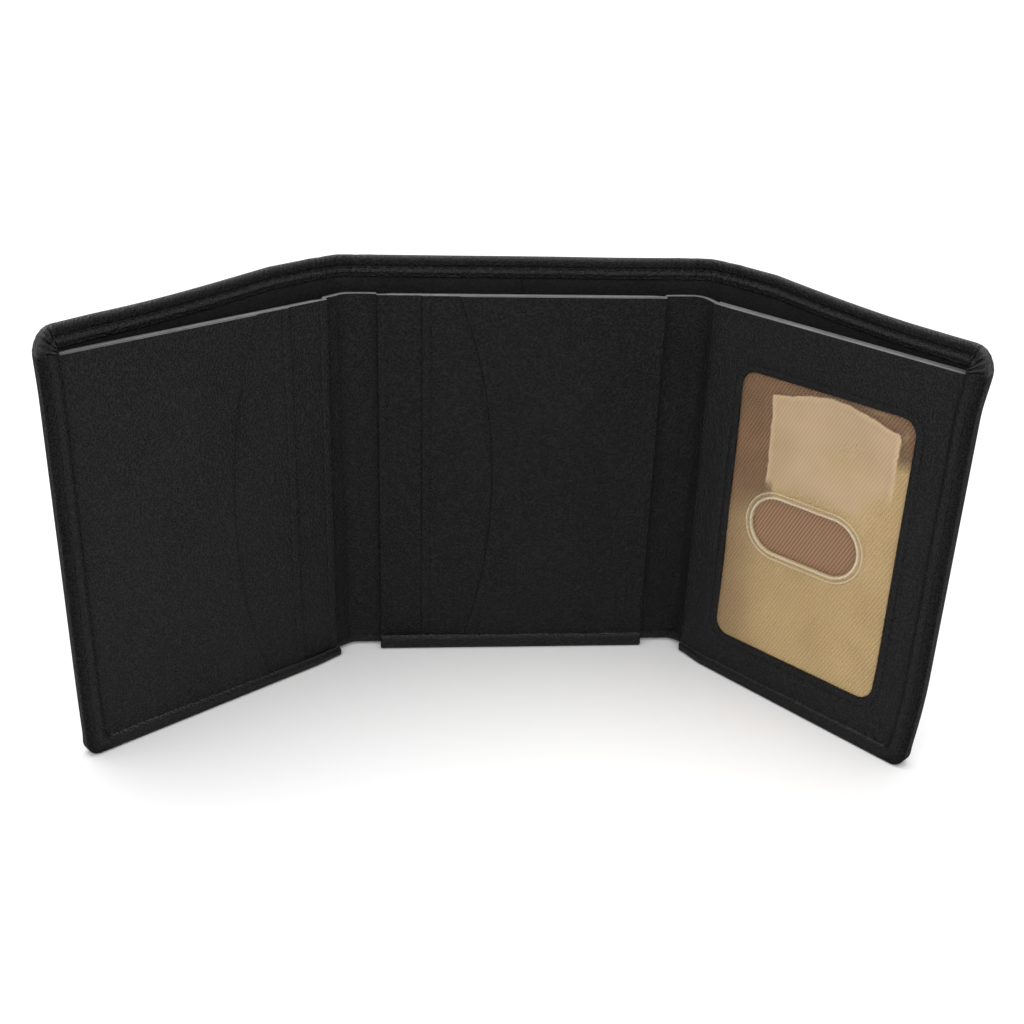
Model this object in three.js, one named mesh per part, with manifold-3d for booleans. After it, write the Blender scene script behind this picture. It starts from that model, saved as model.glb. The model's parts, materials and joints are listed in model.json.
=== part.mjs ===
// Trifold wallet, standing on its bottom edge and part open.
// Millimetres, +Z up. Each panel is drawn flat in its own frame: u runs along the panel away
// from the fold, n runs from the pocket side towards the outer shell, z runs up.
// The finished group stands on z = 0 with its bounding box centred on the origin.
import * as THREE from 'three';
import { mergeVertices } from 'three/addons/utils/BufferGeometryUtils.js';
import Module from 'manifold-3d';

const wasm = await Module();
wasm.setup();

// Driving dimensions.
const CENTRE_WIDTH = 73.8; // between the two gussets
const LEFT_WIDTH = 75.9; // gusset to rounded end
const RIGHT_WIDTH = 73.2;
const INTERIOR_TOP = 102; // top of the pocket stack
const SHELL_TOP_MIDDLE = 110; // top of the shell at the centre and over the folds
const SHELL_TOP_END = 108; // top of the shell at both ends
const LEFT_ANGLE = THREE.MathUtils.degToRad(37.8); // each flap's turn towards the front
const RIGHT_ANGLE = THREE.MathUtils.degToRad(49.3);
const LEFT_EDGE = new THREE.Vector2(-10.96, -3.09); // where each flap's pocket stack starts
const RIGHT_EDGE = new THREE.Vector2(CENTRE_WIDTH + 10.69, -3.01);

// Layers, from the front of the pocket stack backwards.
const LEATHER = 0.6;
const FABRIC = 0.2;
const PLY_GAP = 0.12; // air between two plies
const STACK_FRONT = 0.5;
const PLY_PITCH = LEATHER + FABRIC + 2 * PLY_GAP; // one pocket front and its fabric
const MIDDLE_FRONT = STACK_FRONT + PLY_PITCH;
const BASE_FRONT = MIDDLE_FRONT + PLY_PITCH;
const LINER_FRONT = BASE_FRONT + LEATHER + PLY_GAP;
const LINER = 0.3;
const STACK_BACK = LINER_FRONT + LINER;

// Outer shell.
const SHELL = 1.2; // leather and its stiffener
const LINING = 0.3;
const FIT = 0.15; // air on each side of the shell's lining
const SHELL_BACK = STACK_BACK + 2 * FIT + LINING + SHELL; // outer face where it is closed
const GAPE = 5; // how far the shell's top stands off behind the centre
const GAPE_POWER = 1.7; // how soon the shell leaves the stack above its bottom seam
const BORDER_FRONT = -0.5; // front face of the edge that is turned over the stack
const BORDER = 0.8;
const BORDER_HEIGHT = 4.9;
const LEFT_BORDER_WIDTH = 5.5;
const RIGHT_BORDER_WIDTH = 5;
const CORNER = 6;
const CORNER_STEPS = 5;
const LINING_INSET = 2; // the lining stops short of the end seam
const LINING_START = 1; // and of the shell's flexible folds
const HEM = 5.7; // turned hem along the shell's top
const HEM_PLY = 0.5;
const HEM_DROP = 0.2; // the hem's leather ends this far below the shell's top
const CLEAR = 0.3; // air between a solid and the next solid beside it
const FOLD_START = 12; // where the flexible part of the shell ends on a flap
const FOLD_INSET = 3; // and on the centre panel
const FOLD_RADIUS = 7;
const GUSSET_BACK = BASE_FRONT + LEATHER;
const GUSSET_RADIUS = 2;
const GUSSET_BOTTOM = 1.8;

// Card pockets: distance of each mouth from the edge beside the gusset.
const MIDDLE_MOUTH = 11.3;
const FRONT_MOUTH_TOP = 20.8;
const FRONT_MOUTH_BOTTOM = 22.5;
const FRONT_MOUTH_PULL = 33; // where the thumb curve's two control points stand
const FRONT_MOUTH_REACH = 0.3; // their distance in from the curve's ends, as a share of its height
const CARD_FABRIC_START = 16;

// Identity window.
const WINDOW = { u0: 10.9, u1: 59.8, z0: 11.4, z1: 87, radius: 4 };
const VINYL = 0.3;
const VINYL_MARGIN = 5;
const SLOT = { u: 34, z: 48, length: 31, height: 15, rim: 2 };
const SLOT_RIM = 0.3;
const SLOT_RIM_GAP = 0.2; // between the slot's cut edge and its rim
const SLOT_FLAT = 0.01; // half the straight left between the two arcs of a slot's round end

const BLACK_LEATHER = { color: 0x1b1a1b, roughness: 0.62, metalness: 0 };
const BLACK_FABRIC = { color: 0x141415, roughness: 0.9, metalness: 0 };
const BROWN_TWILL = { color: 0x846a52, roughness: 0.85, metalness: 0 };
const CLEAR_VINYL = { color: 0xd8cbb2, roughness: 0.2, metalness: 0 };

const LEFT = { side: -1, origin: LEFT_EDGE, turn: LEFT_ANGLE, width: LEFT_WIDTH, border: LEFT_BORDER_WIDTH };
const CENTRE = { side: 1, origin: new THREE.Vector2(0, 0), turn: 0, width: CENTRE_WIDTH };
const RIGHT = {
  side: 1, origin: RIGHT_EDGE, turn: -RIGHT_ANGLE, width: RIGHT_WIDTH, border: RIGHT_BORDER_WIDTH,
};

// A closed solid between two grids of points, outer[i][j] and inner[i][j].
function loft(outer, inner) {
  const columns = outer.length;
  const rows = outer[0].length;
  const points = [...outer.flat(), ...inner.flat()];
  const at = (layer, i, j) => (layer * columns + i) * rows + j;
  const index = [];
  const quad = (a, b, c, d) => index.push(a, b, c, a, c, d);
  for (let i = 0; i + 1 < columns; i += 1) {
    for (let j = 0; j + 1 < rows; j += 1) {
      quad(at(0, i, j), at(0, i + 1, j), at(0, i + 1, j + 1), at(0, i, j + 1));
      quad(at(1, i, j), at(1, i, j + 1), at(1, i + 1, j + 1), at(1, i + 1, j));
    }
    quad(at(0, i, 0), at(1, i, 0), at(1, i + 1, 0), at(0, i + 1, 0));
    quad(at(0, i, rows - 1), at(0, i + 1, rows - 1), at(1, i + 1, rows - 1), at(1, i, rows - 1));
  }
  for (let j = 0; j + 1 < rows; j += 1) {
    quad(at(0, 0, j), at(0, 0, j + 1), at(1, 0, j + 1), at(1, 0, j));
    const last = columns - 1;
    quad(at(0, last, j), at(1, last, j), at(1, last, j + 1), at(0, last, j + 1));
  }
  const geometry = new THREE.BufferGeometry().setFromPoints(points);
  geometry.setIndex(signedVolume(points, index) < 0 ? index.reverse() : index);
  return geometry;
}

function signedVolume(points, index) {
  let six = 0;
  for (let i = 0; i < index.length; i += 3) {
    const [a, b, c] = [points[index[i]], points[index[i + 1]], points[index[i + 2]]];
    six += a.dot(b.clone().cross(c));
  }
  return six;
}

const CURVE_SEGMENTS = 8;

// An outline drawn in u and z, given its thickness along n.
function slab(shape, front, thickness) {
  const geometry = new THREE.ExtrudeGeometry(shape, {
    depth: thickness, bevelEnabled: false, curveSegments: CURVE_SEGMENTS,
  });
  return geometry.rotateX(Math.PI / 2).translate(0, front + thickness, 0);
}

function rectangle(side, u0, u1, z0, z1) {
  const shape = new THREE.Shape();
  shape.moveTo(side * u0, z0);
  shape.lineTo(side * u1, z0);
  shape.lineTo(side * u1, z1);
  shape.lineTo(side * u0, z1);
  shape.closePath();
  return shape;
}

function roundedRectangle(path, side, u0, u1, z0, z1, r) {
  const [left, right] = [Math.min(side * u0, side * u1), Math.max(side * u0, side * u1)];
  path.moveTo(left + r, z0);
  path.lineTo(right - r, z0);
  path.absarc(right - r, z0 + r, r, -Math.PI / 2, 0);
  path.lineTo(right, z1 - r);
  path.absarc(right - r, z1 - r, r, 0, Math.PI / 2);
  path.lineTo(left + r, z1);
  path.absarc(left + r, z1 - r, r, Math.PI / 2, Math.PI);
  path.lineTo(left, z0 + r);
  path.absarc(left + r, z0 + r, r, Math.PI, 1.5 * Math.PI);
  return path;
}

function toManifold(geometry) {
  const bare = geometry.clone();
  bare.deleteAttribute('normal');
  bare.deleteAttribute('uv');
  const merged = mergeVertices(bare, 1e-4);
  return new wasm.Manifold(new wasm.Mesh({
    numProp: 3,
    vertProperties: new Float32Array(merged.attributes.position.array),
    triVerts: new Uint32Array(merged.index.array),
  }));
}

function join(...geometries) {
  const whole = geometries.map(toManifold).reduce((a, b) => a.add(b));
  const mesh = whole.getMesh();
  const geometry = new THREE.BufferGeometry();
  geometry.setAttribute('position', new THREE.BufferAttribute(new Float32Array(mesh.vertProperties), 3));
  geometry.setIndex([...mesh.triVerts]);
  return geometry;
}

// How far the shell stands off at height z, from 0 at the bottom seam to 1 at the top.
function opened(z) {
  return 1 - (1 - Math.min(z / SHELL_TOP_MIDDLE, 1)) ** GAPE_POWER;
}

// The shell's outer face: on a flap the gape closes towards the sewn end.
function shellBack(panel, u, z) {
  const share = panel.border ? 1 - u / panel.width : 1;
  return SHELL_BACK + GAPE * share * opened(z);
}

function shellTop(panel, u) {
  if (!panel.border) return SHELL_TOP_MIDDLE;
  const along = (u - FOLD_START) / (panel.width - FOLD_START);
  return SHELL_TOP_MIDDLE + (SHELL_TOP_END - SHELL_TOP_MIDDLE) * along;
}

// Places along u for a shell sheet, close together round the end's two corners.
function shellColumns(rounded, u0, u1) {
  if (!rounded) return [u0, u1];
  const places = [u0];
  for (let step = 0; step <= CORNER_STEPS; step += 1) {
    places.push(u1 - CORNER + CORNER * Math.sin((step / CORNER_STEPS) * Math.PI / 2));
  }
  return places;
}

// A curved sheet that follows the shell, from depth d0 to depth d1 inside its outer face.
function shellSheet(panel, u0, u1, d0, d1, bottom, topOf, rounded = Boolean(panel.border)) {
  const ROWS = 8;
  const [outer, inner] = [[], []];
  for (const u of shellColumns(rounded, u0, u1)) {
    const past = rounded ? Math.max(0, u - (u1 - CORNER)) : 0;
    const cut = CORNER - Math.sqrt(Math.max(0, CORNER ** 2 - past ** 2));
    const low = Math.max(bottom, cut);
    const high = topOf(u) - cut;
    const column = (depth) => Array.from({ length: ROWS + 1 }, (_, j) => {
      const z = low + (high - low) * (j / ROWS);
      return new THREE.Vector3(panel.side * u, shellBack(panel, u, z) - depth, z);
    });
    outer.push(column(d0));
    inner.push(column(d1));
  }
  return loft(outer, inner);
}

// A flap's outline from its fold round both outer corners, drawn at a distance inside the edge.
function endOutline(panel, inset) {
  const radius = CORNER - inset;
  const centreU = panel.width - CORNER;
  const points = [[0, inset]];
  const corner = (centreZ, from) => {
    for (let step = 0; step <= CORNER_STEPS; step += 1) {
      const angle = from + (step / CORNER_STEPS) * Math.PI / 2;
      points.push([centreU + radius * Math.cos(angle), centreZ + radius * Math.sin(angle)]);
    }
  };
  corner(CORNER, -Math.PI / 2);
  corner(SHELL_TOP_END - CORNER, 0);
  return points;
}

function outlineShape(panel, points) {
  return new THREE.Shape(points.map(([u, z]) => new THREE.Vector2(panel.side * u, z)));
}

// The wall that closes the stack in at a flap's end and bottom, and the lip turned over it.
function turnedEdge(panel) {
  const outside = endOutline(panel, 0);
  const wall = outlineShape(panel, [...outside, ...endOutline(panel, SHELL).reverse()]);
  const lipEdge = panel.width - panel.border;
  const lip = outlineShape(panel, [
    ...outside,
    [lipEdge, SHELL_TOP_END - BORDER],
    [lipEdge, BORDER_HEIGHT],
    [0, BORDER_HEIGHT],
  ]);
  return [
    slab(wall, BORDER_FRONT, SHELL_BACK - BORDER_FRONT),
    slab(lip, BORDER_FRONT, BORDER),
  ];
}

function flapShell(panel) {
  const top = (u) => shellTop(panel, u);
  const start = FOLD_START + CLEAR;
  const plate = shellSheet(panel, start, panel.width, 0, SHELL, 0, top);
  const hemTop = (u) => top(u) - HEM_DROP;
  const hem = shellSheet(
    panel, start, panel.width - CORNER, SHELL / 2, SHELL + HEM_PLY, SHELL_TOP_END - HEM, hemTop, false,
  );
  return join(plate, hem, ...turnedEdge(panel));
}

function centreShell() {
  const [u0, u1] = [FOLD_INSET + CLEAR, CENTRE_WIDTH - FOLD_INSET - CLEAR];
  const plate = shellSheet(CENTRE, u0, u1, 0, SHELL, 0, () => SHELL_TOP_MIDDLE);
  const hem = shellSheet(
    CENTRE, u0, u1, SHELL / 2, SHELL + HEM_PLY, SHELL_TOP_MIDDLE - HEM,
    () => SHELL_TOP_MIDDLE - HEM_DROP,
  );
  const floor = slab(rectangle(1, 0, CENTRE_WIDTH, 0, SHELL), BORDER_FRONT, SHELL_BACK - BORDER_FRONT);
  const lip = slab(rectangle(1, 0, CENTRE_WIDTH, 0, BORDER_HEIGHT), BORDER_FRONT, BORDER);
  return join(plate, hem, floor, lip);
}

function shellLining(panel, u0, u1) {
  const top = SHELL_TOP_END - HEM - CLEAR;
  return shellSheet(panel, u0, u1, SHELL + FIT, SHELL + FIT + LINING, SHELL + CLEAR, () => top);
}

// Plan position of a point on a panel.
function place(panel, u, n) {
  const point = new THREE.Vector2(panel.side * u, n);
  return point.rotateAround(new THREE.Vector2(0, 0), panel.turn).add(panel.origin);
}

// A leather strip across a fold. At each height it runs straight off the centre panel, round
// one bend and straight on to the flap; backOf(z) gives its outer face on [centre, flap].
function foldStrip(flap, centreStart, flapStart, backOf, thickness, radius, z0, z1) {
  const ROWS = 8;
  const ARC_STEPS = 6;
  const centreDirection = new THREE.Vector2(flap.side, 0);
  const flapDirection = centreDirection.clone().rotateAround(new THREE.Vector2(0, 0), flap.turn);
  const half = Math.abs(flap.turn) / 2;
  const [outer, inner] = [[], []];
  for (let row = 0; row <= ROWS; row += 1) {
    const z = z0 + (z1 - z0) * (row / ROWS);
    const [centreBack, flapBack] = backOf(z);
    const start = new THREE.Vector2(centreStart, centreBack);
    const end = place(flap, flapStart, flapBack);
    const toCorner = (end.y - start.y) / flapDirection.y;
    const corner = end.clone().addScaledVector(flapDirection, -toCorner);
    const bendStart = corner.clone().addScaledVector(centreDirection, -radius * Math.tan(half));
    const middle = bendStart.clone().add(new THREE.Vector2(0, -radius));
    const steps = [[start, 0]];
    for (let step = 0; step <= ARC_STEPS; step += 1) {
      const turned = flap.turn * (step / ARC_STEPS);
      steps.push([bendStart.clone().rotateAround(middle, turned), turned]);
    }
    steps.push([end, flap.turn]);
    steps.forEach(([point, turned], i) => {
      const back = new THREE.Vector2(0, 1).rotateAround(new THREE.Vector2(0, 0), turned);
      const front = point.clone().addScaledVector(back, -thickness);
      outer[i] = [...(outer[i] ?? []), new THREE.Vector3(point.x, point.y, z)];
      inner[i] = [...(inner[i] ?? []), new THREE.Vector3(front.x, front.y, z)];
    });
  }
  return loft(outer, inner);
}

function shellFold(flap) {
  const centreStart = flap.side < 0 ? FOLD_INSET : CENTRE_WIDTH - FOLD_INSET;
  const backOf = (z) => [shellBack(CENTRE, 0, z), shellBack(flap, FOLD_START, z)];
  return foldStrip(
    flap, centreStart, FOLD_START, backOf, SHELL, FOLD_RADIUS, SHELL + CLEAR, SHELL_TOP_MIDDLE,
  );
}

function gusset(flap) {
  const centreStart = flap.side < 0 ? -CLEAR : CENTRE_WIDTH + CLEAR;
  return foldStrip(
    flap, centreStart, -CLEAR, () => [GUSSET_BACK, GUSSET_BACK], LEATHER, GUSSET_RADIUS,
    GUSSET_BOTTOM, INTERIOR_TOP,
  );
}

// Far edge of a panel's inside plies: a flap's stop short of its end wall.
function stackEnd(panel) {
  return panel.border ? panel.width - SHELL - CLEAR : panel.width;
}

const STACK_BOTTOM = SHELL + CLEAR;

// Outline of one inside ply. drawMouth starts the shape at the top and brings it to the bottom.
function plyOutline(panel, drawMouth) {
  const { side, border } = panel;
  const end = stackEnd(panel);
  const shape = new THREE.Shape();
  drawMouth(shape);
  if (border) {
    const radius = CORNER - SHELL - CLEAR;
    const from = -Math.PI / 2;
    const to = side < 0 ? -Math.PI : 0;
    shape.absarc(side * (end - radius), STACK_BOTTOM + radius, radius, from, to, side < 0);
  } else {
    shape.lineTo(side * end, STACK_BOTTOM);
  }
  shape.lineTo(side * end, INTERIOR_TOP);
  shape.closePath();
  return shape;
}

function straightOutline(panel, u0) {
  return plyOutline(panel, (shape) => {
    shape.moveTo(panel.side * u0, INTERIOR_TOP);
    shape.lineTo(panel.side * u0, STACK_BOTTOM);
  });
}

function plainPly(panel, u0, front, thickness) {
  return slab(straightOutline(panel, u0), front, thickness);
}

// The front card pocket, with its mouth cut back in one thumb curve.
function curvedPocket(panel) {
  const reach = (INTERIOR_TOP - STACK_BOTTOM) * FRONT_MOUTH_REACH;
  const pull = panel.side * FRONT_MOUTH_PULL;
  const outline = plyOutline(panel, (shape) => {
    shape.moveTo(panel.side * FRONT_MOUTH_TOP, INTERIOR_TOP);
    shape.bezierCurveTo(
      pull, INTERIOR_TOP - reach, pull, STACK_BOTTOM + reach,
      panel.side * FRONT_MOUTH_BOTTOM, STACK_BOTTOM,
    );
  });
  return slab(outline, STACK_FRONT, LEATHER);
}

function windowFrame() {
  const shape = straightOutline(RIGHT, 0);
  const { u0, u1, z0, z1, radius } = WINDOW;
  shape.holes.push(roundedRectangle(new THREE.Path(), 1, u0, u1, z0, z1, radius));
  return slab(shape, STACK_FRONT, LEATHER);
}

const VINYL_FRONT = STACK_FRONT + LEATHER + PLY_GAP;

function slotOutline(path, grow) {
  const { u, z, length, height } = SLOT;
  const [across, up] = [length / 2 + grow, height / 2 + grow];
  return roundedRectangle(path, 1, u - across, u + across, z - up, z + up, up - SLOT_FLAT);
}

function vinylSheet() {
  const { u0, u1, z0, z1 } = WINDOW;
  const shape = rectangle(
    1, u0 - VINYL_MARGIN, u1 + VINYL_MARGIN, z0 - VINYL_MARGIN, z1 + VINYL_MARGIN,
  );
  shape.holes.push(slotOutline(new THREE.Path(), 0));
  return slab(shape, VINYL_FRONT, VINYL);
}

function slotRim() {
  const shape = slotOutline(new THREE.Shape(), SLOT.rim);
  shape.holes.push(slotOutline(new THREE.Path(), SLOT_RIM_GAP));
  return slab(shape, VINYL_FRONT - PLY_GAP - SLOT_RIM, SLOT_RIM);
}

function part(name, geometry, material) {
  const mesh = new THREE.Mesh(geometry, new THREE.MeshStandardMaterial(material));
  mesh.name = name;
  return mesh;
}

function panelGroup(panel, ...parts) {
  const group = new THREE.Group();
  group.position.set(panel.origin.x, panel.origin.y, 0);
  group.rotation.z = panel.turn;
  group.add(...parts);
  return group;
}

// Three card pockets: two fronts over a base, each with the fabric sewn behind it.
function cardPockets(prefix, panel) {
  const behind = LEATHER + PLY_GAP;
  return [
    part(`${prefix}_pocket_front`, curvedPocket(panel), BLACK_LEATHER),
    part(
      `${prefix}_pocket_front_fabric`,
      plainPly(panel, FRONT_MOUTH_PULL, STACK_FRONT + behind, FABRIC), BLACK_FABRIC,
    ),
    part(`${prefix}_pocket_middle`, plainPly(panel, MIDDLE_MOUTH, MIDDLE_FRONT, LEATHER), BLACK_LEATHER),
    part(
      `${prefix}_pocket_middle_fabric`,
      plainPly(panel, CARD_FABRIC_START, MIDDLE_FRONT + behind, FABRIC), BLACK_FABRIC,
    ),
    part(`${prefix}_pocket_base`, plainPly(panel, 0, BASE_FRONT, LEATHER), BLACK_LEATHER),
    part(`${prefix}_bill_divider`, plainPly(panel, 0, LINER_FRONT, LINER), BLACK_FABRIC),
  ];
}

const leftFlap = panelGroup(
  LEFT,
  ...cardPockets('left', LEFT),
  part('left_shell', flapShell(LEFT), BLACK_LEATHER),
  part(
    'left_shell_lining',
    shellLining(LEFT, FOLD_START + LINING_START, stackEnd(LEFT) - LINING_INSET), BLACK_FABRIC,
  ),
);

const centrePanel = panelGroup(
  CENTRE,
  ...cardPockets('centre', CENTRE),
  part('centre_shell', centreShell(), BLACK_LEATHER),
  part(
    'centre_shell_lining',
    shellLining(CENTRE, FOLD_INSET + LINING_START, CENTRE_WIDTH - FOLD_INSET - LINING_START),
    BLACK_FABRIC,
  ),
);

const twill = plainPly(RIGHT, WINDOW.u0 - VINYL_MARGIN, MIDDLE_FRONT, FABRIC);
const rightFlap = panelGroup(
  RIGHT,
  part('id_window_frame', windowFrame(), BLACK_LEATHER),
  part('id_window_vinyl', vinylSheet(), CLEAR_VINYL),
  part('id_window_slot_rim', slotRim(), CLEAR_VINYL),
  part('id_pocket_lining', twill, BROWN_TWILL),
  part('right_pocket_base', plainPly(RIGHT, 0, BASE_FRONT, LEATHER), BLACK_LEATHER),
  part('right_bill_divider', plainPly(RIGHT, 0, LINER_FRONT, LINER), BLACK_FABRIC),
  part('right_shell', flapShell(RIGHT), BLACK_LEATHER),
  part(
    'right_shell_lining',
    shellLining(RIGHT, FOLD_START + LINING_START, stackEnd(RIGHT) - LINING_INSET), BLACK_FABRIC,
  ),
);

const wallet = new THREE.Group();
wallet.add(
  leftFlap,
  centrePanel,
  rightFlap,
  part('left_gusset', gusset(LEFT), BLACK_LEATHER),
  part('right_gusset', gusset(RIGHT), BLACK_LEATHER),
  part('left_shell_fold', shellFold(LEFT), BLACK_LEATHER),
  part('right_shell_fold', shellFold(RIGHT), BLACK_LEATHER),
);

// Stand the wallet on z = 0 with its bounding box centred over the origin.
const box = new THREE.Box3().setFromObject(wallet);
const middle = box.getCenter(new THREE.Vector3());
wallet.position.set(-middle.x, -middle.y, -box.min.z);

export default wallet;
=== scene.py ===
"""Looks of the trifold wallet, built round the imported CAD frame. Lengths here are in millimetres."""
import json
import math

import bmesh
import bpy
import numpy as np
from mathutils import Matrix, Vector


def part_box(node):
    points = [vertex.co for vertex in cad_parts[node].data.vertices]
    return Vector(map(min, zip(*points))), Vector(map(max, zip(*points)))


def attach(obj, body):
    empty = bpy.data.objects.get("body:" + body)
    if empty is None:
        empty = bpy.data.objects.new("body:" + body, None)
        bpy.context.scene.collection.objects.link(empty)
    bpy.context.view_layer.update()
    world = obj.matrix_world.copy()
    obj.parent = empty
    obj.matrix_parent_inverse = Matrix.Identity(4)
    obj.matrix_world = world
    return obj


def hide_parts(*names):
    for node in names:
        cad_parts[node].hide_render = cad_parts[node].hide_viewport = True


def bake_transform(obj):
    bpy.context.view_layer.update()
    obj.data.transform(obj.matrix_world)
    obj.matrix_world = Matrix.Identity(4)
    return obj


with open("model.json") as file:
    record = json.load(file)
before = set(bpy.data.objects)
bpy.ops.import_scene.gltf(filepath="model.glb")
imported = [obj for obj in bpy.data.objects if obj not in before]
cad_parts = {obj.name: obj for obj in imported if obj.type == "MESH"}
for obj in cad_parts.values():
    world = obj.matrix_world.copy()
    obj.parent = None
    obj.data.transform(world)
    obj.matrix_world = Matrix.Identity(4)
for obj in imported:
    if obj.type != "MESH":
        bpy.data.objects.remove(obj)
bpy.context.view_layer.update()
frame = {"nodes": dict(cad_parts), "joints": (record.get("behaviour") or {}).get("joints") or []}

MM = 0.001  # metres in one of this script's units
RANDOM = np.random.default_rng(7)


# ---------------------------------------------------------------- small maths

def smooth(x, low, high):
    """0 below low, 1 above high, easing between."""
    t = np.clip((np.asarray(x, float) - low) / (high - low), 0, 1)
    return t * t * (3 - 2 * t)


def bump(x, at, width):
    return np.exp(-((np.asarray(x, float) - at) / width) ** 2)


def steps(low, high, spacing):
    return np.linspace(low, high, max(2, int(round(abs(high - low) / spacing)) + 1))


def grid(columns, rows):
    """Two grids [column, row] from a line of column places and a line of row places."""
    return np.meshgrid(columns, rows, indexing="ij")


def waves(x, y, scale, seed):
    """A gentle, repeatable unevenness between about -1 and 1, with lumps about scale across."""
    rng = np.random.default_rng(seed)
    total = np.zeros(np.broadcast(x, y).shape)
    for _ in range(6):
        angle, phase = rng.uniform(0, math.tau, 2)
        k = math.tau / scale * rng.uniform(0.6, 1.4)
        total += np.sin(k * (np.cos(angle) * x + np.sin(angle) * y) + phase)
    return total / 3.5


# ---------------------------------------------------------------- the frame's measurements

def node_points(name):
    """A CAD node's corner points, in millimetres."""
    mesh = frame["nodes"][name].data
    flat = np.zeros(len(mesh.vertices) * 3)
    mesh.vertices.foreach_get("co", flat)
    return flat.reshape(-1, 3) / MM


FOOT_HEIGHT = 24  # how far up from the bottom edge the foot's set reaches
FOOT_SPAN = 73  # over this length out from the fold it grows from its near to its far value
FOOT_START = 9  # and it starts over this length beside the fold
SETTLE_REACH = 12  # how far down from the top edge the pockets have settled


class Panel:
    """A flat panel's own frame: u runs from the fold outwards, n from the pocket side to the shell."""

    def __init__(self, body, side, turn, base, front, foot=(0, 0), sunk=(0, 0)):
        self.body, self.side, self.turn, self.foot, self.sunk = body, side, turn, foot, sunk
        self.along = np.array([side * math.cos(turn), side * math.sin(turn)])
        self.back = np.array([-math.sin(turn), math.cos(turn)])
        self.origin = np.zeros(2)
        u0 = self.extent(base)[0]
        n0 = self.extent(front)[2]
        self.origin = u0 * self.along + n0 * self.back
        self.facing = np.array([*-self.back, 0])

    def extent(self, node):
        """(u0, u1, n0, n1, z0, z1) of a CAD node in this panel's frame."""
        points = node_points(node)
        flat = points[:, :2] - self.origin
        u, n, z = flat @ self.along, flat @ self.back, points[:, 2]
        return u.min(), u.max(), n.min(), n.max(), z.min(), z.max()

    def kick(self, u, z):
        """How far the flap's foot swings forward: leather that has taken a slight set."""
        near, far = self.foot
        reach = np.clip(1 - z / FOOT_HEIGHT, 0, 1) ** 2
        return (near + (far - near) * np.clip(u / FOOT_SPAN, 0, 1.2)) * smooth(u, 0, FOOT_START) * reach

    def settle(self, u, z):
        """How far the pockets' upper edges have sunk into the shell."""
        near, far = self.sunk
        reach = smooth(z, STACK_TOP - SETTLE_REACH, STACK_TOP)
        return (near + (far - near) * np.clip(u / FOOT_SPAN, 0, 1)) * reach

    def place(self, u, n, z):
        u, n, z = np.broadcast_arrays(u, n, z)
        n = n - self.kick(u, z)
        flat = self.origin + u[..., None] * self.along + n[..., None] * self.back
        return np.concatenate([flat, (z - self.settle(u, z))[..., None]], axis=-1)

    def reach(self, points):
        """How far out from the fold points lie."""
        return (points[:, :2] - self.origin) @ self.along

    def normals(self, count):
        """The panel's facing direction, once for each of count points."""
        return np.repeat(self.facing[None, :], count, axis=0)


JOINTS = {joint["name"]: joint for joint in frame["joints"]}


def rest_turn(joint):
    """How far a flap stands turned at rest, from flat: its joint's travel back to flat."""
    return math.radians(-JOINTS[joint]["range_deg"][0]) * JOINTS[joint]["axis"][2]


CENTRE = Panel("centre_panel", 1, 0, "centre_pocket_base", "centre_pocket_front", sunk=(0.25, 0.25))
LEFT = Panel(
    "left_flap", -1, rest_turn("left_fold"), "left_pocket_base", "left_pocket_front",
    foot=(0.65, 0.65), sunk=(0.5, 0.75))
RIGHT = Panel(
    "right_flap", 1, rest_turn("right_fold"), "right_pocket_base", "id_window_frame",
    foot=(1.2, 4.2), sunk=(0.5, 1.0))

WIDTH = CENTRE.extent("centre_pocket_base")[1]
STACK_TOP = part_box("centre_pocket_base")[1].z / MM
SHELL_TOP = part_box("centre_shell")[1].z / MM
BORDER_FRONT = CENTRE.extent("centre_shell")[2]  # front face of the turned edges
MIDDLE_FRONT = CENTRE.extent("centre_pocket_middle")[2]
BASE_FRONT = CENTRE.extent("centre_pocket_base")[2]
STACK_BACK = CENTRE.extent("centre_bill_divider")[3]
SHELL_POINTS = node_points("centre_shell")
SHELL_DEPTHS = SHELL_POINTS[:, 1] - CENTRE.origin[1]
SHELL_CLOSED = SHELL_DEPTHS[SHELL_POINTS[:, 2] < 0.5].max()  # the shell's outer face along its bottom seam
GAPE = SHELL_DEPTHS.max() - SHELL_CLOSED
GAPE_POWER = 1.7
CORNER = 6  # radius of the field's corners, inside the turned edges


def end_top(flap, shell):
    """Height of the shell's top edge at a flap's end."""
    points = node_points(shell)
    return points[flap.reach(points) > flap.extent(shell)[1] - CORNER - 0.1, 2].max()


END_TOP = {"left_flap": end_top(LEFT, "left_shell"), "right_flap": end_top(RIGHT, "right_shell")}


def opened(z):
    """How far the bill compartment has opened at a height, from 0 at the bottom seam to 1."""
    return 1 - (1 - np.clip(np.asarray(z, float) / SHELL_TOP, 0, 1)) ** GAPE_POWER


# ---------------------------------------------------------------- materials

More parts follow.
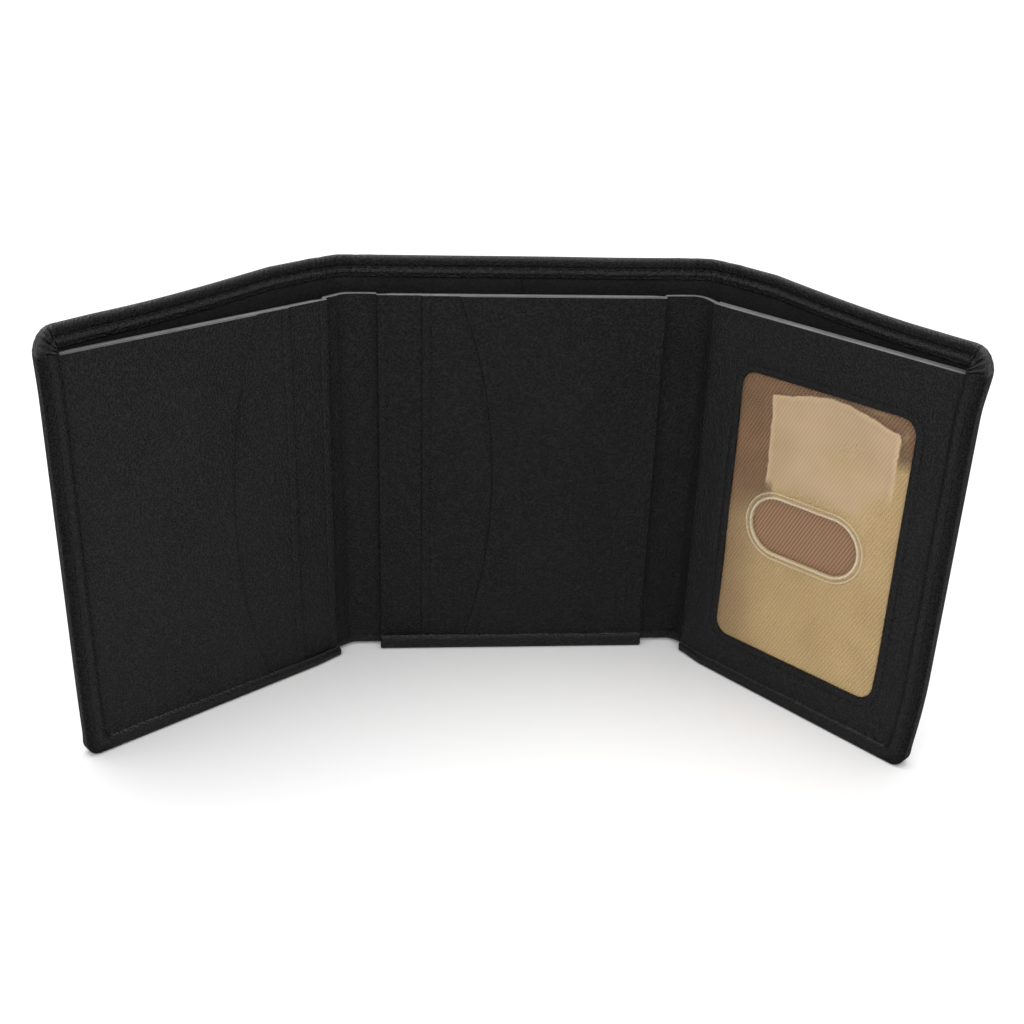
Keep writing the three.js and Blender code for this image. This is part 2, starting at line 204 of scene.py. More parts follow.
class Graph:
    """A material's node tree, with short calls for the nodes used here."""

    def __init__(self, name):
        self.material = bpy.data.materials.new(name)
        self.material.use_nodes = True
        self.tree = self.material.node_tree
        self.tree.nodes.clear()
        self.shader = self.add("ShaderNodeBsdfPrincipled")
        self.output = self.add("ShaderNodeOutputMaterial")
        self.link(self.shader.outputs[0], self.output.inputs["Surface"])
        self.object = self.add("ShaderNodeTexCoord").outputs["Object"]
        self.uv = self.add("ShaderNodeUVMap").outputs[0]

    def add(self, kind, inputs=None, **settings):
        """A node with its settings and its inputs, which are given by name or number."""
        node = self.tree.nodes.new(kind)
        for key, value in settings.items():
            setattr(node, key, value)
        for key, value in (inputs or {}).items():
            self.put(node, key, value)
        return node

    def link(self, source, target):
        self.tree.links.new(source, target)

    def put(self, node, key, value):
        if isinstance(value, bpy.types.NodeSocket):
            self.link(value, node.inputs[key])
        else:
            node.inputs[key].default_value = value

    def scaled(self, vector, size):
        return self.add("ShaderNodeVectorMath", {0: vector, 1: size}, operation="MULTIPLY").outputs[0]

    def noise(self, vector, scale, detail=3, roughness=0.55):
        inputs = {"Vector": vector, "Scale": scale, "Detail": detail, "Roughness": roughness}
        return self.add("ShaderNodeTexNoise", inputs).outputs[0]

    def cells(self, vector, scale, feature="F1"):
        inputs = {"Vector": vector, "Scale": scale}
        return self.add("ShaderNodeTexVoronoi", inputs, feature=feature).outputs["Distance"]

    def bands(self, vector, scale, direction, **inputs):
        inputs = {"Vector": vector, "Scale": scale, **inputs}
        wave = self.add("ShaderNodeTexWave", inputs, wave_type="BANDS", bands_direction=direction)
        return wave.outputs[1]

    def maths(self, operation, a, b=0.0, clamp=False):
        return self.add("ShaderNodeMath", {0: a, 1: b}, operation=operation, use_clamp=clamp).outputs[0]

    def remap(self, value, low, high, to_low=0.0, to_high=1.0):
        inputs = {"Value": value, "From Min": low, "From Max": high, "To Min": to_low, "To Max": to_high}
        return self.add("ShaderNodeMapRange", inputs).outputs[0]

    def mix(self, share, a, b, blend="MIX"):
        inputs = {"Factor": share, 6: a, 7: b}
        return self.add("ShaderNodeMix", inputs, data_type="RGBA", blend_type=blend).outputs[2]

    def carried(self, name):
        """The number of this name that the mesh's points carry."""
        return self.add("ShaderNodeAttribute", attribute_name=name).outputs["Fac"]

    def relief(self, *layers):
        """Stacks bumps, each (height, depth in mm), and wires the last one to the shader."""
        normal = None
        for height, depth in layers:
            node = self.add("ShaderNodeBump", {"Height": height, "Distance": depth * MM})
            if normal is not None:
                self.link(normal, node.inputs["Normal"])
            normal = node.outputs[0]
        self.link(normal, self.shader.inputs["Normal"])

    def set(self, **values):
        """Puts values on the shader's inputs, whose names have spaces for underscores."""
        for key, value in values.items():
            self.put(self.shader, key.replace("_", " "), value)
        return self.material


def grey(value, alpha=1.0):
    return (value, value, value * 1.02, alpha)


GLOSS = 0.15  # specular level of plain leather
RIDGE_GLOSS = 0.27  # on the ridge under the hem's stitches
CREST_GLOSS = 0.85  # along the top of the rolled hem
PLEAT_GLOSS = 0.25  # what the pleats at a top corner add
END_GLOSS = 0.02  # on a flap's turned end
LIP_GLOSS = 0.55  # along the inner rim of a turned edge


def leather(name, dark, light, roughness=0.56, grain=1.0, gloss=GLOSS):
    """Fine-grained black leather: small pebbles, pores, and slow drifts of tone and sheen. With no gloss
    given, the mesh carries it."""
    g = Graph(name)
    pebble = g.cells(g.object, 1900)
    fine = g.noise(g.object, 4200, 2)
    slow = g.noise(g.object, 55, 4)
    creases = g.cells(g.object, 420, "DISTANCE_TO_EDGE")
    crease_cut = g.remap(creases, 0.0, 0.09)
    g.relief((slow, 0.25), (crease_cut, 0.03 * grain), (pebble, 0.34 * grain), (fine, 0.15 * grain))
    speckle = g.maths("ADD", g.maths("MULTIPLY", pebble, 0.3), g.maths("MULTIPLY", fine, 0.4))
    tone = g.maths("ADD", g.remap(slow, 0, 1, 0.13, 0.27), speckle)
    return g.set(
        Base_Color=g.mix(g.remap(tone, 0.42, 0.64), grey(dark), grey(light)),
        Roughness=g.remap(slow, 0.3, 0.7, roughness - 0.05, roughness + 0.07),
        Specular_IOR_Level=g.carried("gloss") if gloss is None else gloss)


def edge_paint():
    """Grey raw edge of the stacked plies, a little uneven and fibrous."""
    g = Graph("edge_paint")
    fibre = g.noise(g.scaled(g.object, (1, 1, 3)), 900, 4, 0.7)
    blotch = g.noise(g.object, 160, 3)
    share = g.maths("ADD", g.maths("MULTIPLY", fibre, 0.5), g.maths("MULTIPLY", blotch, 0.5))
    g.relief((blotch, 0.15), (fibre, 0.08))
    return g.set(
        Base_Color=g.mix(g.remap(share, 0.3, 0.7), grey(0.13), grey(0.225)),
        Roughness=g.remap(fibre, 0.3, 0.7, 0.5, 0.7), Specular_IOR_Level=0.35)


def thread():
    """Twisted black polyester thread."""
    g = Graph("black_thread")
    twist = g.bands(g.object, 900, "DIAGONAL")
    fuzz = g.noise(g.object, 2500, 2)
    g.relief((twist, 0.05), (fuzz, 0.03))
    return g.set(
        Base_Color=g.mix(fuzz, grey(0.004), grey(0.012)),
        Roughness=g.remap(fuzz, 0.3, 0.7, 0.45, 0.6), Specular_IOR_Level=0.2)


WAVE_SCALE = math.tau / 20  # a wave texture's scale for bands that are one unit apart


def weave_height(g, angle, pitch):
    """Slanting ribs with the threads that cross them, in the flat cloth's own coordinates, and a slow
    unevenness."""
    turn = g.add("ShaderNodeVectorRotate", {"Vector": g.uv, "Angle": angle}, rotation_type="Z_AXIS")
    uneven = {"Distortion": 0.6, "Detail": 1.0, "Detail Scale": 2.0}
    ribs = g.bands(turn.outputs[0], WAVE_SCALE / pitch, "X", **uneven)
    threads = g.bands(turn.outputs[0], WAVE_SCALE / (pitch * 0.8), "Y", **uneven)
    return g.maths("MULTIPLY", ribs, g.remap(threads, 0, 1, 0.65, 1)), g.noise(g.uv, 0.18, 2)


def lining_fabric():
    """Plain black lining cloth of the bill compartment."""
    g = Graph("black_lining")
    ribs, wobble = weave_height(g, 0.0, 0.35)
    slub = g.noise(g.object, 1300, 3, 0.6)
    g.relief((wobble, 0.2), (slub, 0.22), (ribs, 0.05))
    shade = g.maths("ADD", g.maths("MULTIPLY", ribs, 0.3), g.maths("MULTIPLY", g.remap(slub, 0.3, 0.7), 0.7))
    return g.set(
        Base_Color=g.mix(shade, grey(0.002), grey(0.0155)),
        Roughness=g.remap(wobble, 0.3, 0.7, 0.62, 0.75), Specular_IOR_Level=0.17, Sheen_Weight=0.04)


RIB_ANGLE = math.radians(26.7)  # of the twill's ribs, from upright
RIB_PITCH = 0.83
RIB_SHOWING = 0.27  # how strongly the ribs show through the vinyl


def brown_twill():
    """Brown twill behind the window: fine slanting ribs with flecks of lighter thread."""
    g = Graph("brown_twill")
    ribs, wobble = weave_height(g, RIB_ANGLE, RIB_PITCH)
    fleck = g.noise(g.scaled(g.uv, (1.0, 2.2, 1.0)), 2.4, 3, 0.65)
    dark, light = (0.17, 0.090, 0.046, 1), (0.37, 0.215, 0.125, 1)
    shade = g.maths("ADD", g.maths("MULTIPLY", ribs, 0.52), g.maths("MULTIPLY", fleck, 0.58))
    g.relief((wobble, 0.2), (ribs, 0.09))
    return g.set(
        Base_Color=g.mix(g.remap(shade, 0.2, 0.85), dark, light),
        Roughness=g.remap(fleck, 0.3, 0.7, 0.75, 0.9), Specular_IOR_Level=0.25, Sheen_Weight=0.15)


def vinyl(name, pale=(0.725, 0.54, 0.333, 1)):
    """Clear soft vinyl with a warm haze, partly its own tint and partly a painted reflection of the bright
    surroundings, with a paler patch of painted reflection over the cloth; the cloth's ribs show through it
    faintly."""
    g = Graph(name)
    veil, inside, strength = g.carried("veil"), g.carried("patch"), g.carried("strength")
    ragged = g.noise(g.uv, 0.32, 4, 0.6)
    cloudy = g.noise(g.uv, 0.07, 3, 0.5)
    # Where the painted reflection lies: a paler patch with ragged edges, fading where its strength falls.
    edge = g.maths("ADD", inside, g.remap(ragged, 0.3, 0.7, -0.28, 0.28))
    painted_reflection = g.maths("MULTIPLY", g.remap(edge, -0.2, 0.35), strength)
    base = g.maths("ADD", veil, g.remap(cloudy, 0.35, 0.65, -0.05, 0.05))
    # A painted highlight along the inside of the patch's edge.
    rim = g.remap(edge, 0.0, 1.6, 0.16, 0.0)
    lifted = g.maths("ADD", g.remap(cloudy, 0.35, 0.65, 0.45, 0.53), rim)
    alpha = g.maths("ADD", base, g.maths("MULTIPLY", painted_reflection, g.maths("SUBTRACT", lifted, base)), clamp=True)
    # The haze's colour: dark where it is thin, warm where painted reflection thickens it.
    shade, warm = (0.17, 0.115, 0.065, 1), (0.775, 0.58, 0.28, 1)
    tint = g.mix(g.remap(veil, 0.15, 0.28), shade, warm)
    ribs, _ = weave_height(g, RIB_ANGLE, RIB_PITCH)
    rib_shade = g.remap(ribs, 0.1, 0.8, RIB_SHOWING, 0.0)
    # The colour: the haze, pale where the painted reflection lies, with the cloth's ribs showing through.
    colour = g.mix(rib_shade, g.mix(painted_reflection, tint, pale), (0.55, 0.45, 0.36, 1), "MULTIPLY")
    g.relief((cloudy, 0.2), (ragged, 0.004))
    return g.set(
        Base_Color=colour, Alpha=alpha, Roughness=g.remap(ragged, 0.3, 0.7, 0.12, 0.22),
        IOR=1.45, Specular_IOR_Level=0.4)


LEATHER = leather("black_leather", 0.003, 0.0148)
# A darker copy of the pocket leather for the centre panel, between the flaps: painted shade.
LEATHER_CENTRE_SHADED = leather("black_leather_centre_painted_shade", 0.002, 0.0122, gloss=0.12)
LEATHER_TURNED = leather("black_leather_turned", 0.002, 0.012, roughness=0.46, grain=0.9, gloss=None)
# A darker copy of the leather for the gussets, recessed in the folds: painted shade.
LEATHER_GUSSET_SHADED = leather("black_leather_gusset", 0.002, 0.0112, roughness=0.56, grain=1.1)
EDGE = edge_paint()
THREAD = thread()
LINING = lining_fabric()
TWILL = brown_twill()
VINYL = vinyl("clear_vinyl")
# The slot rim's near-white pale is a painted highlight on its beads' crests.
VINYL_RIM = vinyl("clear_vinyl_rim_painted_highlight", pale=(1.0, 0.95, 0.84, 1))


# ---------------------------------------------------------------- mesh building

def make_piece(name, points, faces, materials, face_material=None, uv=None, **values):
    """A mesh object from points in millimetres. uv holds the flat sheet's own coordinates, also in mm, and
    values are numbers that each point carries for its material."""
    mesh = bpy.data.meshes.new(name)
    mesh.from_pydata((np.asarray(points).reshape(-1, 3) * MM).tolist(), [], [list(f) for f in faces])
    for material in materials:
        mesh.materials.append(material)
    if face_material is not None:
        mesh.polygons.foreach_set("material_index", np.asarray(face_material, np.int32))
    loops = np.zeros(len(mesh.loops), np.int32)
    mesh.loops.foreach_get("vertex_index", loops)
    flat = np.asarray(uv if uv is not None else np.asarray(points).reshape(-1, 3)[:, [0, 2]], float)
    layer = mesh.uv_layers.new(name="flat")
    layer.data.foreach_set("uv", flat.reshape(-1, 2)[loops].astype(np.float32).ravel())
    for key, value in values.items():
        attribute = mesh.attributes.new(key, "FLOAT", "POINT")
        attribute.data.foreach_set("value", np.asarray(value, np.float32).ravel())
    mesh.polygons.foreach_set("use_smooth", np.ones(len(mesh.polygons), bool))
    mesh.validate()
    mesh.update()
    piece = bpy.data.objects.new(name, mesh)
    bpy.context.scene.collection.objects.link(piece)
    return piece


def grid_faces(columns, rows, start=0, closed=False):
    """Quads of a grid of columns by rows points, numbered column by column."""
    last = columns if closed else columns - 1
    i, j = grid(np.arange(last), np.arange(rows - 1))
    k = (i + 1) % columns
    quads = np.stack([i * rows + j, k * rows + j, k * rows + j + 1, i * rows + j + 1], axis=-1)
    return quads.reshape(-1, 4) + start


MERGE = 0.002 * MM  # points closer than this are one


def tidy_mesh(piece):
    """Merges points that coincide, drops those that no face uses and turns every face outwards."""
    work = bmesh.new()
    work.from_mesh(piece.data)
    bmesh.ops.remove_doubles(work, verts=work.verts, dist=MERGE)
    bmesh.ops.dissolve_degenerate(work, edges=work.edges, dist=MERGE)
    bmesh.ops.recalc_face_normals(work, faces=work.faces)
    bmesh.ops.delete(work, geom=[v for v in work.verts if not v.link_faces], context="VERTS")
    work.to_mesh(piece.data)
    work.free()
    return piece


def face_towards(piece, direction):
    """Turns an open sheet over if more of it faces away from a direction than along it."""
    out = Vector(direction)
    if sum(p.normal.dot(out) * p.area for p in piece.data.polygons) < 0:
        piece.data.flip_normals()


def thicken(piece, thickness):
    """Gives an open sheet its thickness, on its inner side."""
    solid = piece.modifiers.new("thickness", "SOLIDIFY")
    solid.thickness = thickness * MM
    solid.offset = -1
    return apply_modifiers(piece)


def apply_modifiers(piece):
    graph = bpy.context.evaluated_depsgraph_get()
    mesh = bpy.data.meshes.new_from_object(piece.evaluated_get(graph))
    piece.modifiers.clear()
    piece.data = mesh
    return piece


def sharpen(piece):
    """Keeps the edges sharper than 60 degrees from being smoothed over."""
    piece.data.set_sharp_from_angle(angle=math.radians(60))
    return piece


def two_sided(name, place, us, zs, sides, walls, materials, closed=False):
    """A sheet with a front and a back, whose depths are sides; us and zs are grids [column, row]. walls
    join them round the rim, as [points, the points next to them, turned over, each wall's material]."""
    columns, rows = us.shape
    points = np.concatenate([place(us, n, zs).reshape(-1, 3) for n in sides])
    uv = np.stack([us, zs], axis=-1).reshape(-1, 2)
    other = columns * rows  # how far on in the list the back's points are
    faces = [grid_faces(columns, rows, 0, closed), grid_faces(columns, rows, other, closed)[:, ::-1]]
    material = [0] * (2 * len(faces[0]))
    for a, b, turned, index in walls:
        quad = np.stack([a, b, b + other, a + other], axis=-1)
        faces.append(quad[:, ::-1] if turned else quad)
        material += list(np.broadcast_to(index, len(quad)))
    piece = make_piece(name, points, np.concatenate(faces), materials, material, np.concatenate([uv, uv]))
    return tidy_mesh(piece)


def closed_slab(place, us, zs, front, back, name, materials, top_material=1):
    """A ply with four sides, whose top side may have a material of its own."""
    columns, rows = us.shape
    i = np.arange(columns - 1)
    j = np.arange(rows - 1)
    bottom, top = i * rows, i * rows + rows - 1
    left, right = j, (columns - 1) * rows + j
    walls = (
        (bottom, bottom + rows, True, 0), (top, top + rows, False, top_material),
        (left, left + 1, False, 0), (right, right + 1, True, 0))
    return two_sided(name, place, us, zs, (front, back), walls, materials)


STITCH = 3.1  # pitch of the stitching

# A ply's edges: a soft roll, and creases at given distances in from its mouth.
ROLL = 0.45
TOP_ROLL = 0.13
ROLL_STEPS = np.array([0, 0.04, 0.13, 0.27, ROLL])
CREASE_HALF = np.array([-0.5, -0.25, -0.1, 0, 0.1, 0.25, 0.5])
CREASE_DEPTH = 0.16
CREASE_WIDTH = 0.2


def rolled(distance, radius=ROLL):
    """How far a rolled edge has dropped back at a distance in from the edge."""
    d = np.clip(distance, 0, radius)
    return radius - np.sqrt(np.maximum(0, radius ** 2 - (radius - d) ** 2))


def ply(name, panel, mouth, end, bottom, front, thickness, creases=(), swell=0.12, seed=1, recess=0.0,
        skived=0.0, hide=LEATHER):
    """One leather ply of a pocket, between its mouth and the panel's far side. Inside its rim its back is
    thinner by recess, to take a lining cloth. skived is how much thinner its upright edges are."""
    top = STACK_TOP
    near = np.concatenate([ROLL_STEPS, *[c + CREASE_HALF for c in creases]])
    near = np.unique(np.round(near, 3))
    zs = np.concatenate([bottom + ROLL_STEPS, steps(bottom + 1.5, top - 1.5, 2.0), top - ROLL_STEPS[::-1]])
    mouths = mouth(zs)
    far = end - near[near <= ROLL][::-1]
    middle = steps(near.max() + 1.2, (end - mouths.min()) - 1.2, 2.0)
    share = (middle - near.max()) / ((end - mouths.min()) - near.max())
    us = np.concatenate([
        mouths + near[:, None],
        (mouths + near.max()) * (1 - share[:, None]) + end * share[:, None],
        np.repeat(far[:, None], len(zs), axis=1),
    ])
    zz = np.broadcast_to(zs, us.shape)
    from_mouth = us - mouths
    edge = np.minimum.reduce([from_mouth, end - us, zz - bottom, top - zz])
    drop = rolled(np.minimum.reduce([from_mouth, end - us, zz - bottom])) + rolled(top - zz, TOP_ROLL)
    for crease in creases:
        drop = drop + CREASE_DEPTH * bump(from_mouth, crease, CREASE_WIDTH)
    fade = smooth(edge, 0, 12)
    face = front + drop - swell * fade * (0.6 + 0.4 * waves(us, zz, 38, seed))
    beside = np.minimum(from_mouth, end - us)
    thickness = thickness - recess * smooth(edge, 0.5, 1.45) - skived * (1 - smooth(beside, 1.5, 3.5))
    back = np.maximum(front + thickness, face + 0.1)
    return closed_slab(panel.place, us, zz, face, back, name, [hide, EDGE])


# Sections along a stitch: shares of its length, how thick the thread is there and how far it bows up.
STITCH_ALONG = np.array([0, 0.08, 0.22, 0.5, 0.78, 0.92, 1.0])
STITCH_GIRTH = np.array([0.25, 0.72, 0.95, 1.0, 0.95, 0.72, 0.25])
STITCH_BOW = np.array([-0.5, 0.2, 0.75, 1.0, 0.75, 0.2, -0.5])
STITCH_SIDES = 8


def stitch_faces():
    """One stitch's faces: a tube with both its ends closed."""
    sections, sides = len(STITCH_ALONG), STITCH_SIDES
    i, j = grid(np.arange(sections - 1), np.arange(sides))
    k = (j + 1) % sides
    quads = np.stack([i * sides + j, i * sides + k, (i + 1) * sides + k, (i + 1) * sides + j], -1)
    ends = [np.arange(sides)[::-1], (sections - 1) * sides + np.arange(sides)]
    return [*quads.reshape(-1, 4), *ends]


def stitch_run(path, normals, spacing=STITCH, length=2.1, width=0.34, sunk=0.07):
    """Points and faces of the stitches along a line: small bowed threads, a gap between each and the next."""
    path, normals = np.asarray(path, float), np.asarray(normals, float)
    travel = np.concatenate([[0], np.cumsum(np.linalg.norm(np.diff(path, axis=0), axis=1))])
    count = max(1, int(travel[-1] / spacing))
    starts = (travel[-1] - count * spacing) / 2 + spacing * np.arange(count) + (spacing - length) / 2
    around = np.linspace(0, math.tau, STITCH_SIDES, endpoint=False)
    one = stitch_faces()
    points, faces = [], []
    for start in starts:
        at = start + STITCH_ALONG * length
        centre = np.stack([np.interp(at, travel, path[:, k]) for k in range(3)], axis=1)
        up = np.stack([np.interp(at, travel, normals[:, k]) for k in range(3)], axis=1)
        up /= np.linalg.norm(up, axis=1, keepdims=True)
        forward = np.gradient(centre, axis=0)
        forward /= np.linalg.norm(forward, axis=1, keepdims=True)
        across = np.cross(forward, up)
        middle = centre + up * (STITCH_BOW * width * 0.35 - sunk)[:, None]
        wide = across[:, None, :] * (STITCH_GIRTH * width / 2)[:, None, None]
        high = up[:, None, :] * (STITCH_GIRTH * width * 0.4)[:, None, None]
        ring = middle[:, None, :] + np.cos(around)[:, None] * wide + np.sin(around)[:, None] * high
        faces += [face + len(points) * len(around) * len(at) for face in one]
        points.append(ring.reshape(-1, 3))
    return np.concatenate(points), faces


def sewn(name, runs):
    """One piece of thread from several runs of stitches."""
    points, faces, count = [], [], 0
    for run_points, run_faces in runs:
        points.append(run_points)
        faces += [(face + count).tolist() for face in run_faces]
        count += len(run_points)
    piece = make_piece(name, np.concatenate(points), faces, [THREAD])
    return piece


# ---------------------------------------------------------------- the two folds

class Wrap:
    """Half of the wallet as one bending strip. s runs from the centre panel's middle, round the fold
    and out along the flap; n and z are as on the panels."""

    def __init__(self, flap, reference, radius):
        self.flap, self.reference, self.radius = flap, reference, radius
        self.side = flap.side
        self.name = "left" if flap is LEFT else "right"
        self.middle = WIDTH / 2
        self.turn = flap.turn
        angle = abs(self.turn)
        # Where the two panels' planes at the reference depth cross.
        line_y = CENTRE.origin[1] + reference
        start = flap.origin + reference * flap.back
        flap_u = (line_y - start[1]) / flap.along[1]
        corner_x = (start + flap_u * flap.along)[0]
        tangent = radius * math.tan(angle / 2)
        self.middle_x = CENTRE.origin[0] + self.middle
        self.bend_start = abs(corner_x - self.middle_x) - tangent
        self.bend_end = self.bend_start + radius * angle
        self.bend_mid = (self.bend_start + self.bend_end) / 2
        self.flap_offset = flap_u + tangent - self.bend_end  # flap u = s + this

    def place(self, s, n, z):
        s, n, z = np.broadcast_arrays(np.asarray(s, float), n, z)
        n = n - self.flap.kick(s + self.flap_offset, z)
        turned = np.clip((s - self.bend_start) / self.radius, 0, abs(self.turn)) * np.sign(self.turn)
        before = np.minimum(s, self.bend_start)
        after = np.maximum(s - self.bend_end, 0)
        x0 = self.middle_x + self.side * before
        y0 = CENTRE.origin[1] + self.reference
        out = self.radius + n - self.reference
        x = x0 - np.sin(turned) * out + self.side * np.cos(turned) * after
        y = y0 - self.radius + np.cos(turned) * out + self.side * np.sin(turned) * after
        return np.stack([x, y, z], axis=-1)

    def s_of(self, u):
        """How far along the strip a place on the flap lies."""
        return u - self.flap_offset


SHELL_BEND = 7.0  # radius of the shell's bend round a fold
END_THIN = {"left_flap": 0.9, "right_flap": 0.6}  # the shell draws in this much towards a flap's end
END_TRIM = {"left_flap": 0.8, "right_flap": 0.0}  # and ends this much short of the CAD shell
END_SAG = {"left_flap": 0.8, "right_flap": 0.7}  # and its top edge sags this much there
MID_SAG = {"left_flap": 0.8, "right_flap": 1.0}  # and this much halfway along the flap
END_FLARE = {"left_flap": 0.3, "right_flap": 1.1}  # how far a flap's end leans out at its top
END_TURN = 0.7  # how far the shell's outer face turns in at a flap's very end
RUMPLE_PITCH = 3.4  # between the wrinkles that the fold has pressed into the shell's top
RUMPLE_DEPTH = 0.34
SHELL_WAVE = 0.35  # height of the slow unevenness in the shell and its lining
LINING_DEPTH = 1.05  # of the lining's back below the shell's outer face
LINING_THICK = 0.3
LINING_LOW = 3.2  # height of the lining's bottom edge
LINING_TUCK = 1.6  # how far the lining reaches up under the hem
GUSSET_BEND = 3.0  # radius of a gusset's bend
GUSSET_THICK = 1.5
GUSSET_TUCK = 1.4  # how far it reaches under the plies at each side
GUSSET_LOW = 1.2  # height of its bottom edge
GUSSET_FOLDS = (-2.6, -0.6, 1.5, 3.1)  # where its soft folds run, from the middle of the bend
GUSSET_FOLD_DEPTH = 0.11
GUSSET_DIP = {"left_flap": 0.0, "right_flap": 0.8}  # how far its top edge comes down at the flap


def shell_back(wrap, end_s, s, z):
    """Depth of the shell's outer face: it stands off the stack towards the top, less towards the end."""
    zero = wrap.s_of(0)
    share = 1 - np.clip((s - zero) / (end_s - zero), 0, 1)
    rumple = 0
    for k in range(5):
        at = wrap.bend_mid + (k - 2) * RUMPLE_PITCH
        rumple = rumple + (RUMPLE_DEPTH - 0.09 * abs(k - 2)) * bump(s, at, 0.85) * (-1) ** k
    rumple = rumple * smooth(z, SHELL_TOP * 0.72, SHELL_TOP)
    slow = SHELL_WAVE * waves(s, z, 60, 11 + wrap.side) * smooth(s, 0, 25) * smooth(z, 0, 30)
    slow = slow * smooth(end_s - s, 6, 25)
    slow = slow - END_THIN[wrap.flap.body] * smooth(s, end_s - 18, end_s - 3)
    slow = slow - END_TURN * smooth(s, end_s - 3.5, end_s) * np.ones_like(z)
    return SHELL_CLOSED + GAPE * share * opened(z) + rumple + slow


def shell_top(wrap, end_s, s):
    """Height of the shell's top edge, which falls from the fold to the flap's end."""
    start = wrap.s_of(12)
    share = np.clip((s - start) / (end_s - start), 0, 1)
    body = wrap.flap.body
    line = SHELL_TOP + (END_TOP[body] - END_SAG[body] - SHELL_TOP) * share
    return line - MID_SAG[body] * np.sin(math.pi * share)


def flare(body, from_end, z):
    """How far the shell near a flap's end leans outwards, most at its top corner."""
    return END_FLARE[body] * (1 - smooth(from_end, 2, 14)) * smooth(z, SHELL_TOP - 19, SHELL_TOP - 6)


EDGE_ROLL = 1.0  # radius of the rolled bottom and end edges
BOTTOM_CORNER = 3.0  # radius of the outer bottom corners, as they show
SKIN_LIFT = 0.05  # the skin lies this much above the turned strips' underside
SKIN = 0.5  # thickness of the shell's leather
HEM_THICK = 1.9  # thickness of the leather turned over along the top
HEM = 5.7  # and how far down it reaches
HEM_ROLL = 2.0  # how far down its inner face the top edge stays rounded
PLEAT_PINCH = 0.05  # how far the pleats at a top corner draw its edge in
PLEAT_DEPTH = 0.5
BACK_ROLL = 2.6  # radius of a flap's end, on its outer side
HEM_GROOVE = 2.9  # stitch groove's distance below the top edge
FOLD_LIFT = 0.5  # how far the bottom edge rises across a fold
FOLD_LIP = 2.6  # height of the turned bottom edge across a fold
FOLD_EDGE_FRONT = 1.9  # front face of the bottom edge across a fold
END_MIDDLE = 0.4  # where a flap's end stops being flat and rounds over to the outer side
LIP_SUNK = 1.15  # how deep the inner rim of a turned bottom edge lies
LIP_BACK = 3.0  # where a turned strip meets the skin, under the bottom edge
PLEATS = 24  # the pleats' waves in a full turn round a top corner
PUCKERS = 21  # small gathers in the hem over each fold
PUCKER_PITCH = 1.2
FOLD_PUCKERS = RANDOM.uniform(-1, 1, (2, PUCKERS, 2))


def turned_profile(distance, lip, hem, along, sunk=0.6):
    """How far the turned edge's front face drops back, by distance in from the outer edge. sunk is how
    deep its inner rim lies."""
    inset = lip - distance
    reach = 1.9 - 0.7 * sunk - 0.9 * hem
    drop = (sunk + (0.4 - sunk) * hem) * (1 - np.clip(inset / reach, 0, 1)) ** 2
    border = -0.12 * bump(inset, 1.0, 0.6) + 0.12 * bump(inset, 2.4, 0.45)
    between = 0.5 + 0.5 * np.cos(math.tau * along / STITCH)
    uneven = 0.6 + 0.4 * np.sin(along * 0.9) * np.sin(along * 0.37 + 2)
    groove = (0.42 + 0.12 * between) * bump(distance, HEM_GROOVE, 0.42)
    ridge = -(0.34 + 0.26 * between * uneven) * bump(distance, HEM_GROOVE + 1.15, 0.62)
    return drop + border * (1 - hem) + (groove + ridge) * hem


def fold_puckers(wrap, s):
    """Small gathers in the hem round the inside of a fold."""
    total = 0.0
    for k, (jitter, depth) in enumerate(FOLD_PUCKERS[int(wrap.side > 0)]):
        out = k - (PUCKERS - 1) / 2
        at = wrap.bend_mid + out * PUCKER_PITCH + 0.4 * jitter
        total = total + (0.38 + 0.26 * depth) * bump(s, at, 0.3) * math.exp(-(out / 8.0) ** 2)
    return total * (1 if wrap.side > 0 else 0.75)


PLAIN, FOLD, TURNED = 0, 1, 2  # an outline's sections: over a strip of its own, at a fold, turned over
FIELD_ROWS = np.linspace(0, 1, 44)  # share of the way up the back's field
FRONT_ROWS = (
    0, 0.015, 0.04, 0.08, 0.13, 0.19, 0.25, 0.31, 0.37, 0.43, 0.49, 0.54, 0.59, 0.64, 0.69, 0.75, 0.82,
    0.89, 0.95, 1)  # share of the way from a turned edge's lip to its outer roll
FOLD_MARGIN = 2  # how far past the pockets a fold's own bottom edge runs on


def shell_line(wrap, end_s):
    """Places along the top and bottom edges, closest together round the fold."""
    dense = wrap.bend_start - 14, wrap.bend_end + 14
    spans = [
        steps(0, dense[0], 0.5), steps(*dense, 0.2), steps(dense[1], end_s - CORNER, 0.5),
        [wrap.middle - FOLD_MARGIN, wrap.s_of(0) + FOLD_MARGIN]]
    line = np.unique(np.round(np.concatenate(spans), 3))
    return np.append(line[(line >= 0) & (line < end_s - CORNER - 0.05)], end_s - CORNER)


def shell_bottom(wrap, s):
    """Height of the shell's bottom edge, which rises across the fold."""
    start, end = wrap.middle, wrap.s_of(0)
    return SKIN_LIFT + FOLD_LIFT * smooth(s, start - 3, start + 1) * (1 - smooth(s, end - 1, end + 3))


